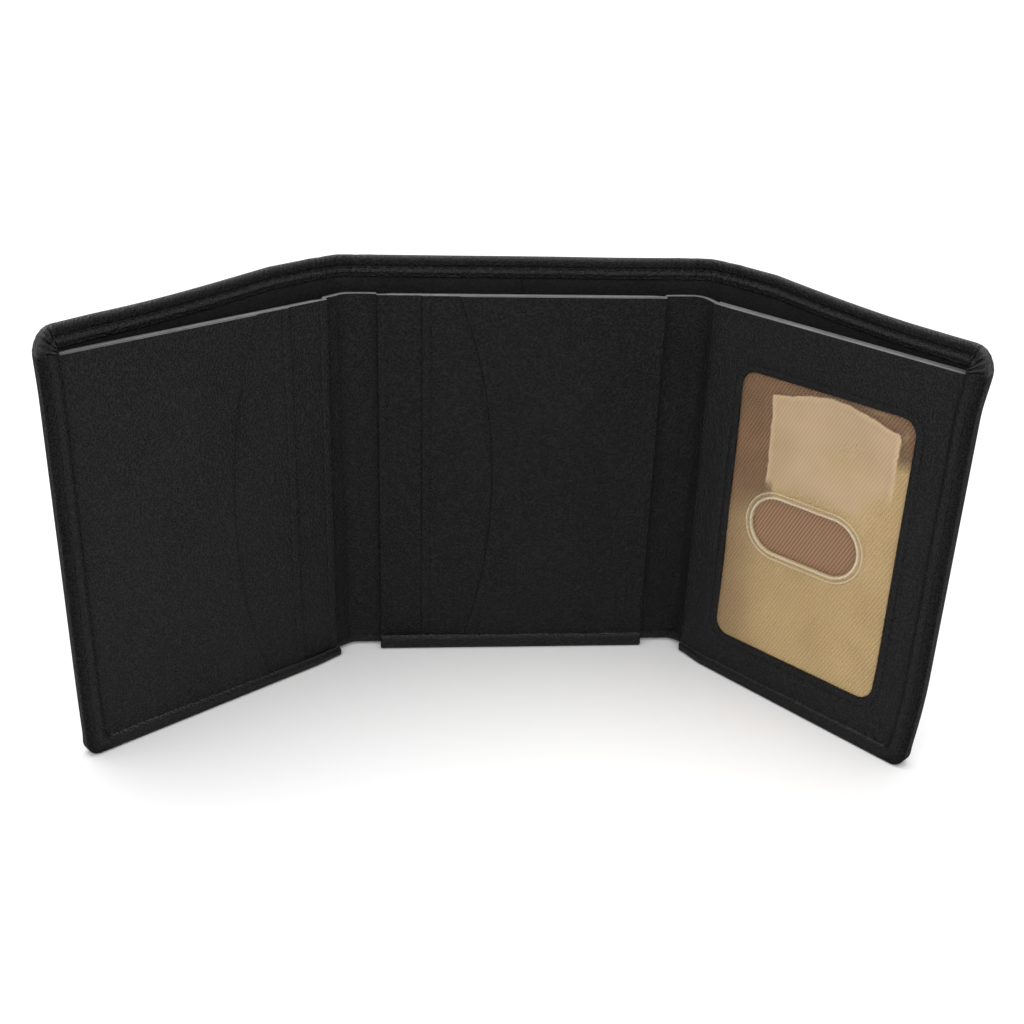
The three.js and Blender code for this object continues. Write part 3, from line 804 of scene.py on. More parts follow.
def shell_outline(wrap, end_s, s_line):
    """Points round the edge of half the shell: s, z, the s and z where the back's field begins inside
    it, hem share, corner angle and section."""
    in_s, low_z = end_s - CORNER, SKIN_LIFT + CORNER
    high_z = float(shell_top(wrap, end_s, in_s)) - CORNER
    arc_s, arc_z = end_s - BOTTOM_CORNER, SKIN_LIFT + BOTTOM_CORNER
    outline = []

    def add(s, z, field_s, field_z, hem=0, angle=0, section=TURNED):
        outline.append([s, z, field_s, field_z, hem, angle, section])

    for s in s_line:
        low = shell_bottom(wrap, s)
        at_fold = wrap.middle - FOLD_MARGIN - 0.001 <= s <= wrap.s_of(0) + FOLD_MARGIN + 0.001
        add(s, low, s, low + CORNER, section=FOLD if at_fold else PLAIN)
    for share in (0, 0.5, 1):
        add(in_s + (arc_s - in_s) * share, SKIN_LIFT, in_s, low_z)
    for a in np.linspace(-math.pi / 2, 0, 15)[1:]:
        add(arc_s + BOTTOM_CORNER * math.cos(a), arc_z + BOTTOM_CORNER * math.sin(a), in_s, low_z)
    add(end_s, (arc_z + low_z) / 2, in_s, low_z)
    for z in low_z + (high_z - low_z) * FIELD_ROWS:
        add(end_s, z, in_s, z)
    for a in np.linspace(0, math.pi / 2, 90)[1:]:
        add(in_s + CORNER * math.cos(a), high_z + CORNER * math.sin(a), in_s, high_z,
            float(smooth(a, 0.25, 1.5)), a)
    for s in s_line[::-1][1:]:
        top = float(shell_top(wrap, end_s, s))
        add(s, top, s, top - CORNER, 1)
    return np.array(outline).T


def shell_gloss(section, hem, window, front_rows, count):
    """Gloss over the turned edges: worn on the hem's crest and ridge and on the pleats, dull on the end."""
    row = np.arange(count)[None, :]
    dull = np.where(section == TURNED, 1 - hem, 0)[:, None] * smooth(row, front_rows - 16, front_rows - 3)
    dull = dull * (1 - smooth(row, count - 6, count - 2))
    worn = RIDGE_GLOSS - 0.17 * smooth(row, front_rows - 13, front_rows - 8)
    worn = worn + (CREST_GLOSS - worn) * smooth(row, front_rows - 6, front_rows - 1)
    gloss = GLOSS + (worn - GLOSS) * hem[:, None] * (1 - smooth(row, front_rows + 2, front_rows + 8))
    gloss = gloss + (END_GLOSS - gloss) * dull
    return gloss + PLEAT_GLOSS * window[:, None] * (1 - smooth(row, front_rows - 1, front_rows + 4))


def shell_skin(wrap, end_s, s, n, z):
    """Places on the shell, with a flap's end leaning out at its top."""
    return wrap.place(s + flare(wrap.flap.body, end_s - s, z), n, z)


def shell_rim(wrap, end_s, s_line, border):
    """The shell's turned edges and their outer side, from the lip round to the field: points, uv and gloss
    as grids [column, row], and the quads."""
    s0, z0, s1, z1, hem, angle, section = shell_outline(wrap, end_s, s_line)
    low_lip = np.where(section == FOLD, FOLD_LIP, FLAP_LIPS[wrap.name][1])
    in_s = end_s - CORNER
    round_corner = smooth(s0, in_s, end_s) * (z0 < CORNER)
    lip = np.where((s0 > in_s) & (z0 >= CORNER), border, low_lip + (border - low_lip) * round_corner)
    lip = np.where(hem > 0, border + (HEM - border) * hem, lip)
    front_flat = np.where(section == FOLD, FOLD_EDGE_FRONT, BORDER_FRONT)
    roll = EDGE_ROLL + (HEM_THICK / 2 - 0.03 - EDGE_ROLL) * hem  # depth of the rolled edge
    roll_in = EDGE_ROLL + (HEM_ROLL - EDGE_ROLL) * hem  # how far in from the edge it reaches

    def across(d):
        share = d / CORNER
        return s0 + (s1 - s0) * share, z0 + (z1 - z0) * share

    def back_at(d):
        return shell_back(wrap, end_s, *across(d))

    window = smooth(angle, 0.0, 0.25) * (1 - smooth(angle, 1.35, math.pi / 2))
    pleat = np.cos(PLEATS * angle + 0.7 * np.sin(5 * angle)) * window * (0.7 + 0.3 * np.sin(9 * angle + 1))
    gathers = fold_puckers(wrap, s0) * hem * (angle == 0)
    along = np.where(hem >= 1, s0, z0)

    rows, uv = [], []

    def add_row(d, n, pinch=0.0):
        s, z = across(d - pinch)
        rows.append(shell_skin(wrap, end_s, s, n, z))
        uv.append(np.stack([s0 + np.sign(s1 - s0) * d, z0 + np.sign(z1 - z0) * d], axis=-1))

    for t in FRONT_ROWS:
        d = lip - (lip - roll_in) * t
        front = front_flat + (back_at(d) - HEM_THICK - front_flat) * hem
        fade = 1 - smooth(d, 3.9, CORNER)
        n = front + turned_profile(d, lip, hem, along) + PLEAT_DEPTH * pleat * fade
        add_row(d, n + gathers * (1 - smooth(d, 4.6, 6.4)))
    back_roll = back_at(roll_in)
    front_edge = front_flat + (back_roll - HEM_THICK - front_flat) * hem
    for turn in np.linspace(0, math.pi / 2, 7)[1:]:
        add_row(roll_in * (1 - math.sin(turn)),
                front_edge + roll * (1 - math.cos(turn)) + (PLEAT_DEPTH * pleat + gathers) * math.cos(turn),
                PLEAT_PINCH * pleat * math.sin(turn))
    front_rows = len(rows)
    middle = END_MIDDLE + (LIP_BACK - END_MIDDLE) * (section < TURNED)
    middle = middle * (1 - hem) + hem * (back_roll - HEM_THICK / 2)
    add_row(0.0, middle, PLEAT_PINCH * pleat)
    at_end = np.where(section == TURNED, 1 - hem, 0) * smooth(z0, 0, CORNER)
    back_in = roll + (BACK_ROLL - roll) * at_end
    back_edge = back_at(back_in)
    for turn in np.linspace(0, math.pi / 2, 9):
        add_row(back_in * (1 - math.cos(turn)), back_edge - back_in * (1 - math.sin(turn)),
                PLEAT_PINCH * pleat * math.cos(turn))
    for share in (0.2, 0.45, 0.72, 1.0):
        d = back_in + (CORNER - back_in) * share
        add_row(d, back_at(d))
    points, uv = np.stack(rows, axis=1), np.stack(uv, axis=1)
    columns, count = points.shape[:2]
    gloss = shell_gloss(section, hem, window, front_rows, count)
    quads = grid_faces(columns, count).reshape(columns - 1, count - 1, 4)
    keep = np.ones((columns - 1, count - 1), bool)
    plain = (section[:-1] == PLAIN) | (section[1:] != section[:-1])
    keep[plain, :front_rows] = False
    return points, uv, gloss, quads[keep]


def half_shell(wrap, end_s, border):
    """The outer leather from the centre's middle to a flap's end, turned over along its top and end."""
    s_line = shell_line(wrap, end_s)
    points, uv, gloss, quads = shell_rim(wrap, end_s, s_line, border)

    # The field of the back, inside the corners.
    low = shell_bottom(wrap, s_line)[:, None] + CORNER
    high = shell_top(wrap, end_s, s_line)[:, None] - CORNER
    zz = low + (high - low) * FIELD_ROWS
    ss = np.broadcast_to(s_line[:, None], zz.shape)
    field = shell_skin(wrap, end_s, ss, shell_back(wrap, end_s, ss, zz), zz)
    faces = [quads, grid_faces(*zz.shape, gloss.size)]
    piece = make_piece(
        f"shell_leather_{wrap.name}", np.concatenate([points.reshape(-1, 3), field.reshape(-1, 3)]),
        np.concatenate(faces), [LEATHER_TURNED],
        uv=np.concatenate([uv.reshape(-1, 2), np.stack([ss, zz], axis=-1).reshape(-1, 2)]),
        gloss=np.concatenate([gloss.ravel(), np.full(zz.size, GLOSS)]))
    tidy_mesh(piece)
    face_towards(piece, (0, 1, 0))
    thicken(piece, SKIN)
    return sharpen(piece)


STRIP_ROWS = (0, 0.02, 0.05, 0.1, 0.17, 0.25, 0.33, 0.41, 0.49, 0.57, 0.65, 0.74, 0.83, 0.92, 1)
# The strip's hidden side: [share down its front, height, depth].
STRIP_INSIDE = (
    (1, 0, LIP_BACK), (1, 0.6, LIP_BACK), (1, 0.7, 0.6), (0.9, 0.8, 0.15), (0.7, 0.8, 0.1), (0.2, 0.8, 0.1))


def bottom_strip(name, place, start, end, heights, round_end=True):
    """The turned bottom edge along one panel: a front lip, a rounded edge and the underside. heights is
    the lip's height at its two ends, and the far end is rounded where it shows."""
    near = np.array([0, 0.05, 0.15, 0.3, 0.5])
    line = np.unique(np.concatenate([start + near, steps(start + 0.9, end - 0.9, 0.5), end - near]))
    lip = heights[0] + (heights[1] - heights[0]) * smooth(line, start, end)
    profile = [(t, EDGE_ROLL, BORDER_FRONT, True) for t in STRIP_ROWS]
    for turn in np.linspace(0, math.pi / 2, 7)[1:]:
        depth = BORDER_FRONT + EDGE_ROLL * (1 - math.cos(turn))
        profile.append((1, EDGE_ROLL * (1 - math.sin(turn)), depth, False))
    profile += [(t, z, n, False) for t, z, n in STRIP_INSIDE]
    t, low, n, shaped = (np.array([p[k] for p in profile])[:, None] for k in range(4))
    z = low + (lip - EDGE_ROLL) * (1 - t)
    relief = turned_profile(z, lip, 0.0, line, LIP_SUNK)
    pucker = 0.03 * np.cos(math.tau * line / STITCH) * bump(z, 0.55 * lip, 0.9)
    n = n + np.where(shaped.astype(bool), relief + pucker, 0)
    pull = rolled(line - start, 0.5)
    if round_end:
        pull = pull + rolled(end - line, 0.5)
    outside = (n < BORDER_FRONT + EDGE_ROLL) & (n < 0.05)
    n = n + np.where(outside, pull, 0)
    z = np.where(z < 0.5, z + pull, z)
    s = np.broadcast_to(line, z.shape)
    gloss = GLOSS + (LIP_GLOSS - GLOSS) * (1 - smooth(t, 0.03, 0.3)) * (low == EDGE_ROLL)
    rows, columns = z.shape
    faces = grid_faces(rows, columns, closed=True).tolist()
    faces.append((np.arange(rows) * columns).tolist())
    faces.append((np.arange(rows) * columns + columns - 1).tolist()[::-1])
    piece = make_piece(
        name, place(s, n, z), faces, [LEATHER_TURNED], uv=np.stack([s, z], -1),
        gloss=np.broadcast_to(gloss, z.shape))
    tidy_mesh(piece)
    return sharpen(piece)


def shell_lining(wrap, end_s, name):
    """The cloth on the shell's inside, from under the hem to the bottom seam."""
    s_line = np.unique(np.concatenate([
        steps(0, wrap.bend_start - 10, 2.5), steps(wrap.bend_start - 10, wrap.bend_end + 10, 0.9),
        steps(wrap.bend_end + 10, end_s - 3, 2.5)]))
    high = shell_top(wrap, end_s, s_line)[:, None] - HEM + LINING_TUCK
    zz = LINING_LOW + (high - LINING_LOW) * np.linspace(0, 1, 70)
    ss = np.broadcast_to(s_line[:, None], zz.shape)
    back = shell_back(wrap, end_s, ss, zz) - LINING_DEPTH
    sag = SHELL_WAVE * waves(ss, zz * 0.5, 14, 5 + wrap.side) * smooth(zz, 20, 60) * smooth(high - zz, 0, 6)
    face = np.maximum(back - LINING_THICK - np.abs(sag), STACK_BACK + 0.15)
    return closed_slab(wrap.place, ss, zz, face, np.maximum(back, face + 0.1), name, [LINING], 0)


def gusset(wrap, name, fronts):
    """The recessed strip across a fold, tucked under the plies at both sides. fronts are its depths at
    the centre panel and at the flap."""
    start, end = wrap.middle - GUSSET_TUCK, wrap.s_of(0) + GUSSET_TUCK
    s_line = steps(start, end, 0.35)
    low, top = GUSSET_LOW, STACK_TOP - 0.05
    zs = np.concatenate([low + ROLL_STEPS, steps(low + 1.4, top - 1.25, 2.0), top - ROLL_STEPS[::-1]])
    ss, zz = grid(s_line, zs)
    across = (ss - start) / (end - start)
    dip = 0.45 * np.sin(math.pi * np.clip(across, 0, 1)) * smooth(zz, 0, 20)
    folds = 0.0
    for k, offset in enumerate(GUSSET_FOLDS):
        wander = 0.6 * waves(zz, 0, 45, k)
        folds = folds + GUSSET_FOLD_DEPTH * (-1) ** k * bump(ss + wander, wrap.bend_mid + offset, 0.8)
    front = fronts[0] + (fronts[1] - fronts[0]) * across + dip
    face = front + folds + 0.07 * waves(ss, zz, 16, 3) + rolled(zz - low, 0.3) + rolled(top - zz, TOP_ROLL)
    sunk = CENTRE.settle(0, zz) * (1 - across) + wrap.flap.settle(0, zz) * across
    tucked = 1 - smooth(np.minimum(ss - start, end - ss), GUSSET_TUCK - 0.3, GUSSET_TUCK + 0.3)
    sunk = sunk + 0.6 * tucked * smooth(zz, top - 8, top)
    sunk = sunk + GUSSET_DIP[wrap.flap.body] * smooth(across, 0.45, 0.9) * smooth(zz, top - 12, top)
    # Its leather is the darker copy, painted shade in the recess.
    return closed_slab(
        lambda s, n, z: wrap.place(s, n, z - sunk), ss, zz, face, front + GUSSET_THICK, name,
        [LEATHER_GUSSET_SHADED, EDGE])


# ---------------------------------------------------------------- panels

PLY_BOTTOM = 1.5  # the plies' lower edges, hidden in the turned bottom edge
FLAP_INSET = 3.0  # how far a flap's plies stop short of the rolled edge outside them
CARD_STEP = 0.5  # how far one card pocket's front lies behind the next
CARD_PLY = 0.46  # a card pocket's leather and its cloth together
DIVIDER = 0.3  # thickness of the bill divider
CARD_BASE = STACK_BACK - DIVIDER - 2 * CARD_STEP  # the base with its turned edges, up to the divider
CARD_CREASES = {"middle": 2.3, "base": 2.4}  # distance of the crease along a mouth from it
UNDER_SWELL = 0.03  # how far a ply under another stands out between its edges
SKIVED = 0.6  # how much thinner the base is where a gusset is tucked behind it
CLOTH = 0.12  # thickness of a pocket's cloth
CLOTH_INSET = 1.7  # how far in from its ply's edges the cloth ends
RECESS = 0.17  # how much thinner a lined ply is, inside its rim
FRAME_PLY = MIDDLE_FRONT - 0.06
BASE_PLY = 0.72  # the identity flap's base
GUSSET_FRONT = 2 * CARD_STEP + CARD_BASE - SKIVED + 0.02


def pocket_curve(panel, node):
    """The front pocket's mouth, as a function of height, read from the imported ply."""
    points = node_points(node)
    u = panel.reach(points)
    line = {}
    for height, value in zip(np.round(points[:, 2], 2), u):
        if value < u.max() * 0.6:
            line[height] = min(value, line.get(height, math.inf))
    heights = np.array(sorted(line))
    return lambda at: np.interp(at, heights, np.array([line[h] for h in heights]))


def straight_mouth(u):
    """A pocket mouth that stands upright at u."""
    return lambda z: np.full_like(z, u)


def pocket_cloth(name, panel, mouth, end, bottom, front):
    """The cloth on the back of a pocket's leather, in the ply's own recess."""
    zs = steps(bottom + CLOTH_INSET, STACK_TOP - CLOTH_INSET, 3.0)
    mouths = mouth(zs) + CLOTH_INSET
    shares = np.linspace(0, 1, 24)[:, None]
    far = end - CLOTH_INSET
    us = mouths + (far - mouths) * shares
    zz = np.broadcast_to(zs, us.shape)
    back = front + CARD_PLY - 0.03 + 0.01 * waves(us, zz, 20, 61)
    piece = closed_slab(panel.place, us, zz, back - CLOTH, back, name, [LINING], 0)
    return piece


def card_panel(panel, prefix, end, bottom):
    """Three pocket fronts one over the other, each set back from the next. The front two are lined."""
    curve = pocket_curve(panel, f"{prefix}_pocket_front")
    middle = straight_mouth(panel.extent(f"{prefix}_pocket_middle")[0])
    # The centre panel's plies take the darker copy of the leather, painted shade.
    hide = LEATHER_CENTRE_SHADED if panel is CENTRE else LEATHER
    leathers = [
        ply(f"{prefix}_card_front", panel, curve, end, bottom, 0.0, CARD_PLY, seed=21, recess=RECESS,
            hide=hide),
        ply(f"{prefix}_card_middle", panel, middle, end, bottom, CARD_STEP, CARD_PLY,
            creases=(CARD_CREASES["middle"],), swell=UNDER_SWELL, seed=22, recess=RECESS, hide=hide),
        ply(f"{prefix}_card_base", panel, straight_mouth(0.0), end, bottom, 2 * CARD_STEP, CARD_BASE,
            creases=(CARD_CREASES["base"],), swell=UNDER_SWELL, seed=23, skived=SKIVED, hide=hide),
    ]
    for leather_ply, node in zip(leathers, ("pocket_front", "pocket_middle", "pocket_base")):
        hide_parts(f"{prefix}_{node}")
    cloths = []
    for node, mouth, front in (("front", curve, 0.0), ("middle", middle, CARD_STEP)):
        cloths.append(pocket_cloth(
            f"{prefix}_card_{node}_cloth", panel, mouth, end, bottom, front))
        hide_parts(f"{prefix}_pocket_{node}_fabric")
    return leathers, cloths


def divider(panel, prefix, end, bottom):
    """Cloth on the back of the pocket stack, the front wall of the bill compartment."""
    us, zz = grid(steps(2.2, end, 3.0), steps(bottom, STACK_TOP - 0.2, 3.0))
    back = STACK_BACK + 0.08 * waves(us, zz, 25, 9) - 0.05
    piece = closed_slab(
        panel.place, us, zz, back - DIVIDER, back, f"{prefix}_divider_cloth", [LINING, EDGE])
    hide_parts(f"{prefix}_bill_divider")
    return piece


def rounded_ring(u0, u1, z0, z1, radius, per_corner=9, spacing=1.6):
    """Points round a rounded rectangle, with each one's outward direction and its place on the
    square corner outside it, as [u, z, du, dz, corner share]."""
    ring = []
    corners = (
        (u1 - radius, z0 + radius, -math.pi / 2), (u1 - radius, z1 - radius, 0.0),
        (u0 + radius, z1 - radius, math.pi / 2), (u0 + radius, z0 + radius, math.pi),
    )
    for index, (cu, cz, start) in enumerate(corners):
        for a in np.linspace(start, start + math.pi / 2, per_corner):
            ring.append([cu + radius * math.cos(a), cz + radius * math.sin(a), math.cos(a), math.sin(a)])
        nu, nz, next_start = corners[(index + 1) % 4]
        here = np.array(ring[-1][:2])
        there = np.array([nu + radius * math.cos(next_start), nz + radius * math.sin(next_start)])
        count = max(2, int(np.linalg.norm(there - here) / spacing))
        for share in np.linspace(0, 1, count + 1)[1:-1]:
            at = here + (there - here) * share
            ring.append([at[0], at[1], ring[-1][2], ring[-1][3]])
    return np.array(ring)


def to_rectangle(ring, low, high, corner_low, corner_high):
    """Where each ring point's outward ray leaves the outer rectangle, with the corners filled. The
    ring's corners are round about the corners of the inner rectangle."""
    out = ring[:, 2:] / np.abs(ring[:, 2:]).max(axis=1, keepdims=True)
    inner = np.clip(ring[:, :2], corner_low, corner_high)
    side = np.where(out > 0, high, low)
    return inner + (side - inner) * np.abs(out)


WINDOW_CORNER = 4.0  # radius of the window's corners
WINDOW_CREASE = 2.0  # distance of the crease round the window from its edge
FRAME_SWELL = 0.16  # how far the frame's leather stands out between its edges
VINYL_DEPTH = FRAME_PLY - 0.22
VINYL_THICK = 0.12
VINYL_MARGIN = 3.0  # how far the vinyl reaches past the window on every side
TWILL_MARGIN = 4.0
TWILL_THICK = 0.22
SLOT_RIM = 2.0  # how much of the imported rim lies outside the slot's hole


def window_sides(panel):
    """The window's sides (u0, u1, z0, z1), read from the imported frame."""
    points = node_points("id_window_frame")
    u, z = panel.reach(points), points[:, 2]
    hole = (u > 1) & (u < u.max() - 6) & (z > STACK_TOP * 0.08) & (z < STACK_TOP - 2)
    return u[hole].min(), u[hole].max(), z[hole].min(), z[hole].max()


def frame_grid(window, end, bottom):
    """Grids [column, row] of the frame from the window's edge out: u, z and how far its face drops back."""
    u0, u1, z0, z1 = window
    ring = rounded_ring(u0, u1, z0, z1, WINDOW_CORNER)
    outer = to_rectangle(
        ring, (0, bottom), (end, STACK_TOP), (u0 + WINDOW_CORNER, z0 + WINDOW_CORNER),
        (u1 - WINDOW_CORNER, z1 - WINDOW_CORNER))
    inner = ring[:, :2]
    span = np.linalg.norm(outer - inner, axis=1)
    inside = np.concatenate([ROLL_STEPS, [1.0], WINDOW_CREASE + CREASE_HALF])
    outside = ROLL_STEPS[::-1]
    direction = (outer - inner) / span[:, None]
    on_top = outer[:, 1] > STACK_TOP - 0.01
    rows, drop = [], []
    for d in inside:
        rows.append(inner + direction * d)
        drop.append(np.full(len(ring), rolled(d) + CREASE_DEPTH * bump(d, WINDOW_CREASE, CREASE_WIDTH)))
    for share in np.linspace(0, 1, 7)[1:-1]:
        low, high = inside.max(), span - outside.max()
        rows.append(inner + direction * (low + (high - low) * share)[:, None])
        drop.append(np.zeros(len(ring)))
    for d in outside:
        rows.append(outer - direction * d)
        drop.append(np.where(on_top, rolled(d, TOP_ROLL), rolled(d)))
    us, zs = np.moveaxis(np.stack(rows, 1), -1, 0)
    return us, zs, np.stack(drop, 1)


def window_frame(panel, window, end, bottom):
    """The leather face of the identity flap, with its window cut out and its edge turned."""
    us, zs, drop = frame_grid(window, end, bottom)
    swell = np.where(drop > 0.01, 0, FRAME_SWELL)
    face = drop - swell * (0.6 + 0.4 * waves(us, zs, 30, 31))
    columns, rows = us.shape
    back = np.full_like(us, FRAME_PLY * 0.95)
    back[:, -len(ROLL_STEPS):] = BASE_FRONT - 0.05
    i = np.arange(columns)
    k = (i + 1) % columns
    last = rows - 1
    on_top = (zs[i, last] > STACK_TOP - 0.01) & (zs[k, last] > STACK_TOP - 0.01)
    walls = (
        (i * rows, k * rows, False, 0),
        (i * rows + last, k * rows + last, False, np.where(on_top, 1, 0)))
    piece = two_sided(
        "id_frame_leather", panel.place, us, zs, (face, back), walls, [LEATHER, EDGE], closed=True)
    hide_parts("id_window_frame")
    return piece


def slot_shape(panel):
    """The thumb slot's centre, straight half-length and half-height, from its packed rim."""
    u0, u1, _, _, z0, z1 = panel.extent("id_window_slot_rim")
    half_height = (z1 - z0) / 2 - SLOT_RIM
    half_length = (u1 - u0) / 2 - SLOT_RIM
    return (u0 + u1) / 2, (z0 + z1) / 2, half_length - half_height, half_height


def stadium(centre_u, centre_z, straight, radius, per_end=28, per_side=16):
    """Points round a slot with round ends, with outward directions."""
    ring = []
    for side in (1, -1):
        for a in np.linspace(-math.pi / 2, math.pi / 2, per_end):
            ring.append([
                centre_u + side * (straight + radius * math.cos(a)),
                centre_z + side * radius * math.sin(a),
                side * math.cos(a), side * math.sin(a)])
        for share in np.linspace(0, 1, per_side + 1)[1:-1]:
            ring.append([centre_u + side * straight * (1 - 2 * share), centre_z + side * radius, 0, side])
    return np.array(ring)


def slot_rays(ring, centre, window):
    """Where the line from the slot's centre through each point round it meets the vinyl's outer edge."""
    (cu, cz), (u0, u1, z0, z1) = centre, window
    outer = []
    for a in np.arctan2(ring[:, 1] - cz, ring[:, 0] - cu):
        right = u1 + VINYL_MARGIN - cu if math.cos(a) > 0 else cu - u0 + VINYL_MARGIN
        up = z1 + VINYL_MARGIN - cz if math.sin(a) > 0 else cz - z0 + VINYL_MARGIN
        reach = min(right / max(1e-9, abs(math.cos(a))), up / max(1e-9, abs(math.sin(a))))
        outer.append([cu + reach * math.cos(a), cz + reach * math.sin(a)])
    return np.array(outer)


def vinyl_sheet(panel, window):
    """Clear sheet behind the frame, slightly rippled, with the thumb slot punched through it."""
    cu, cz, straight, radius = slot_shape(panel)
    ring = stadium(cu, cz, straight, radius, 44, 44)
    outer = slot_rays(ring, (cu, cz), window)
    shares = np.concatenate([[0, 0.006, 0.015, 0.03, 0.05, 0.07], np.linspace(0.09, 1, 60)])
    us, zs = (ring[:, [k]] * (1 - shares) + outer[:, [k]] * shares for k in (0, 1))
    calm = smooth(shares, 0.0, 0.2) * (1 - smooth(shares, 0.85, 1.0))
    ripple = 0.26 * waves(us, zs, 30, 41) + 0.12 * waves(us, zs, 13, 42)
    face = VINYL_DEPTH + ripple * calm
    columns, rows = us.shape
    # Its points carry the haze, the painted reflection and its strength for the material.
    piece = make_piece(
        "id_vinyl_sheet", panel.place(us, face, zs), grid_faces(columns, rows, closed=True), [VINYL],
        uv=np.stack([us, zs], -1), **vinyl_look(us - window[0], window[3] - zs))
    tidy_mesh(piece)
    face_towards(piece, panel.facing)
    thicken(piece, VINYL_THICK)
    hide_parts("id_window_vinyl")
    return piece


PATCH_LEFT, PATCH_RIGHT = 9.2, 45.5  # sides of the patch of painted reflection, across the window
PATCH_LEAN = 0.03  # how far its left side leans inwards, for each millimetre down
PATCH_TOP = 4.2  # its top edge at its sides, down from the window's
PATCH_RISE = 3.2  # and how much higher that is in the middle
VEIL_LOW, PATCH_REFLECTION = 0.13, 0.33  # how dense the haze is where it shows least, and the least painted reflection inside the patch


def vinyl_look(across, down):
    """The haze over the cloth, partly the vinyl's own tint and partly painted reflection with painted glints,
    and the patch of painted reflection, by distance across the window from its fold side and down from its
    top. All the places and densities are set one by one."""
    arch = PATCH_TOP - PATCH_RISE * np.sin(math.pi * np.clip((across - 9) / 36, 0, 1)) ** 1.5
    inside = np.minimum.reduce([across - PATCH_LEFT - PATCH_LEAN * down, PATCH_RIGHT - across, down - arch])
    # How strongly the painted reflection shows: it fades towards the lower right and below, with a weaker
    # spot.
    strength = 1 - smooth(across, 34, 44) * smooth(down, 18, 26)
    strength = strength * (1 - smooth(down, 26, 31)) * (1 - 0.35 * bump(across, 32, 7) * bump(down, 16, 6))
    # The haze: the vinyl's own tint, thickened with painted reflection low down, at the far side and in the
    # patch.
    low = smooth(down, 28 - 0.25 * across, 42 - 0.25 * across)
    side = smooth(across, 40, 46) * smooth(down, 8, 16)
    veil = VEIL_LOW + low * (0.08 + 0.12 * smooth(across, -3, 22)) + 0.2 * side * (1 - low)
    veil = veil + 0.2 * (1 - low) * smooth(down, 18, 26) * smooth(across, 16, 26) * (1 - side)
    veil = np.maximum(veil, PATCH_REFLECTION * smooth(inside, 0.8, 3.0))
    # Painted glints along the top edge and at the far top corner.
    glint = bump(down, 1.0, 0.5) * bump(across, 39, 4) + bump(across, 46.4, 0.8) * bump(down, 4, 2.2)
    veil = veil + 0.10 * glint
    return {"veil": veil, "patch": inside, "strength": strength}


# Two raised beads side by side round the slot: [distance out from its edge, depth from the vinyl].
RIM_PROFILE = (
    (-0.25, 0.18), (-0.2, -0.1), (0.05, -0.42), (0.4, -0.55), (0.75, -0.42), (0.95, -0.16), (1.1, -0.1),
    (1.25, -0.16), (1.45, -0.4), (1.75, -0.5), (2.05, -0.36), (2.3, -0.06), (2.35, 0.18))
# The rim's haze, and a depth well inside the patch, so that its crests take the pale painted highlight in
# full.
RIM_VEIL, RIM_PATCH = 0.24, 9


def slot_rim(panel):
    """The sealed edge of the thumb slot, with a painted highlight along its beads' crests."""
    cu, cz, straight, radius = slot_shape(panel)
    out, depth = np.array(RIM_PROFILE).T
    ring = stadium(cu, cz, straight, radius, 40, 20)
    us = ring[:, [0]] + ring[:, [2]] * out
    zs = ring[:, [1]] + ring[:, [3]] * out
    columns, rows = us.shape
    # How strongly the painted highlight shows: full on the beads' crests.
    crest = np.broadcast_to(np.clip((-depth - 0.36) / 0.18, 0, 1), us.shape)
    points = panel.place(us, VINYL_DEPTH + depth, zs).reshape(-1, 3)
    faces = grid_faces(columns, rows, closed=True).tolist()
    i = np.arange(columns)
    k = (i + 1) % columns
    faces += np.stack([i * rows, i * rows + rows - 1, k * rows + rows - 1, k * rows], -1).tolist()
    piece = make_piece(
        "id_slot_rim", points, faces, [VINYL_RIM], uv=np.stack([us, zs], -1).reshape(-1, 2),
        veil=np.full(us.shape, RIM_VEIL), patch=np.full(us.shape, RIM_PATCH), strength=crest)
    tidy_mesh(piece)
    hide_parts("id_window_slot_rim")
    return piece


def twill_sheet(panel, window):
    """The brown twill behind the vinyl, lying almost flat with a few soft ripples."""
    margin = TWILL_MARGIN
    u0, u1, z0, z1 = window
    us, zz = grid(steps(u0 - margin, u1 + margin, 1.5), steps(z0 - margin, z1 + margin, 1.5))
    face = MIDDLE_FRONT + 0.35 + 0.1 * waves(us, zz, 35, 51)
    piece = closed_slab(panel.place, us, zz, face, face + TWILL_THICK, "id_twill_lining", [TWILL], 0)
    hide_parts("id_pocket_lining")
    return piece


def panel_line(panel, u, z0, z1, n):
    """A straight upright line on a panel, for a run of stitches."""
    zs = steps(z0, z1, 3.0)
    return panel.place(u, n, zs), panel.normals(len(zs))


# ---------------------------------------------------------------- stage, light and camera

CAMERA_FROM_CORNER = Vector((6.1, -322.8, 193.8))  # from the centre panel's lower left front corner
CAMERA_YAW = math.radians(5.26)
CAMERA_PITCH = math.radians(25.08)
CAMERA_ROLL = math.radians(1.98)
CAMERA_LENS = 46.46
CAMERA_SENSOR = 36
FLOOR_REACH = 9000
FLOOR_LEVEL = -0.05
SUNS = (  # name, energy, direction and softness in degrees
    ("top_softbox", 1.5, (0.10, -0.30, -1), 55), ("front_softbox", 1.1, (0.1, 0.8, -0.75), 60))
SURROUND = 0.75  # strength of the white surroundings


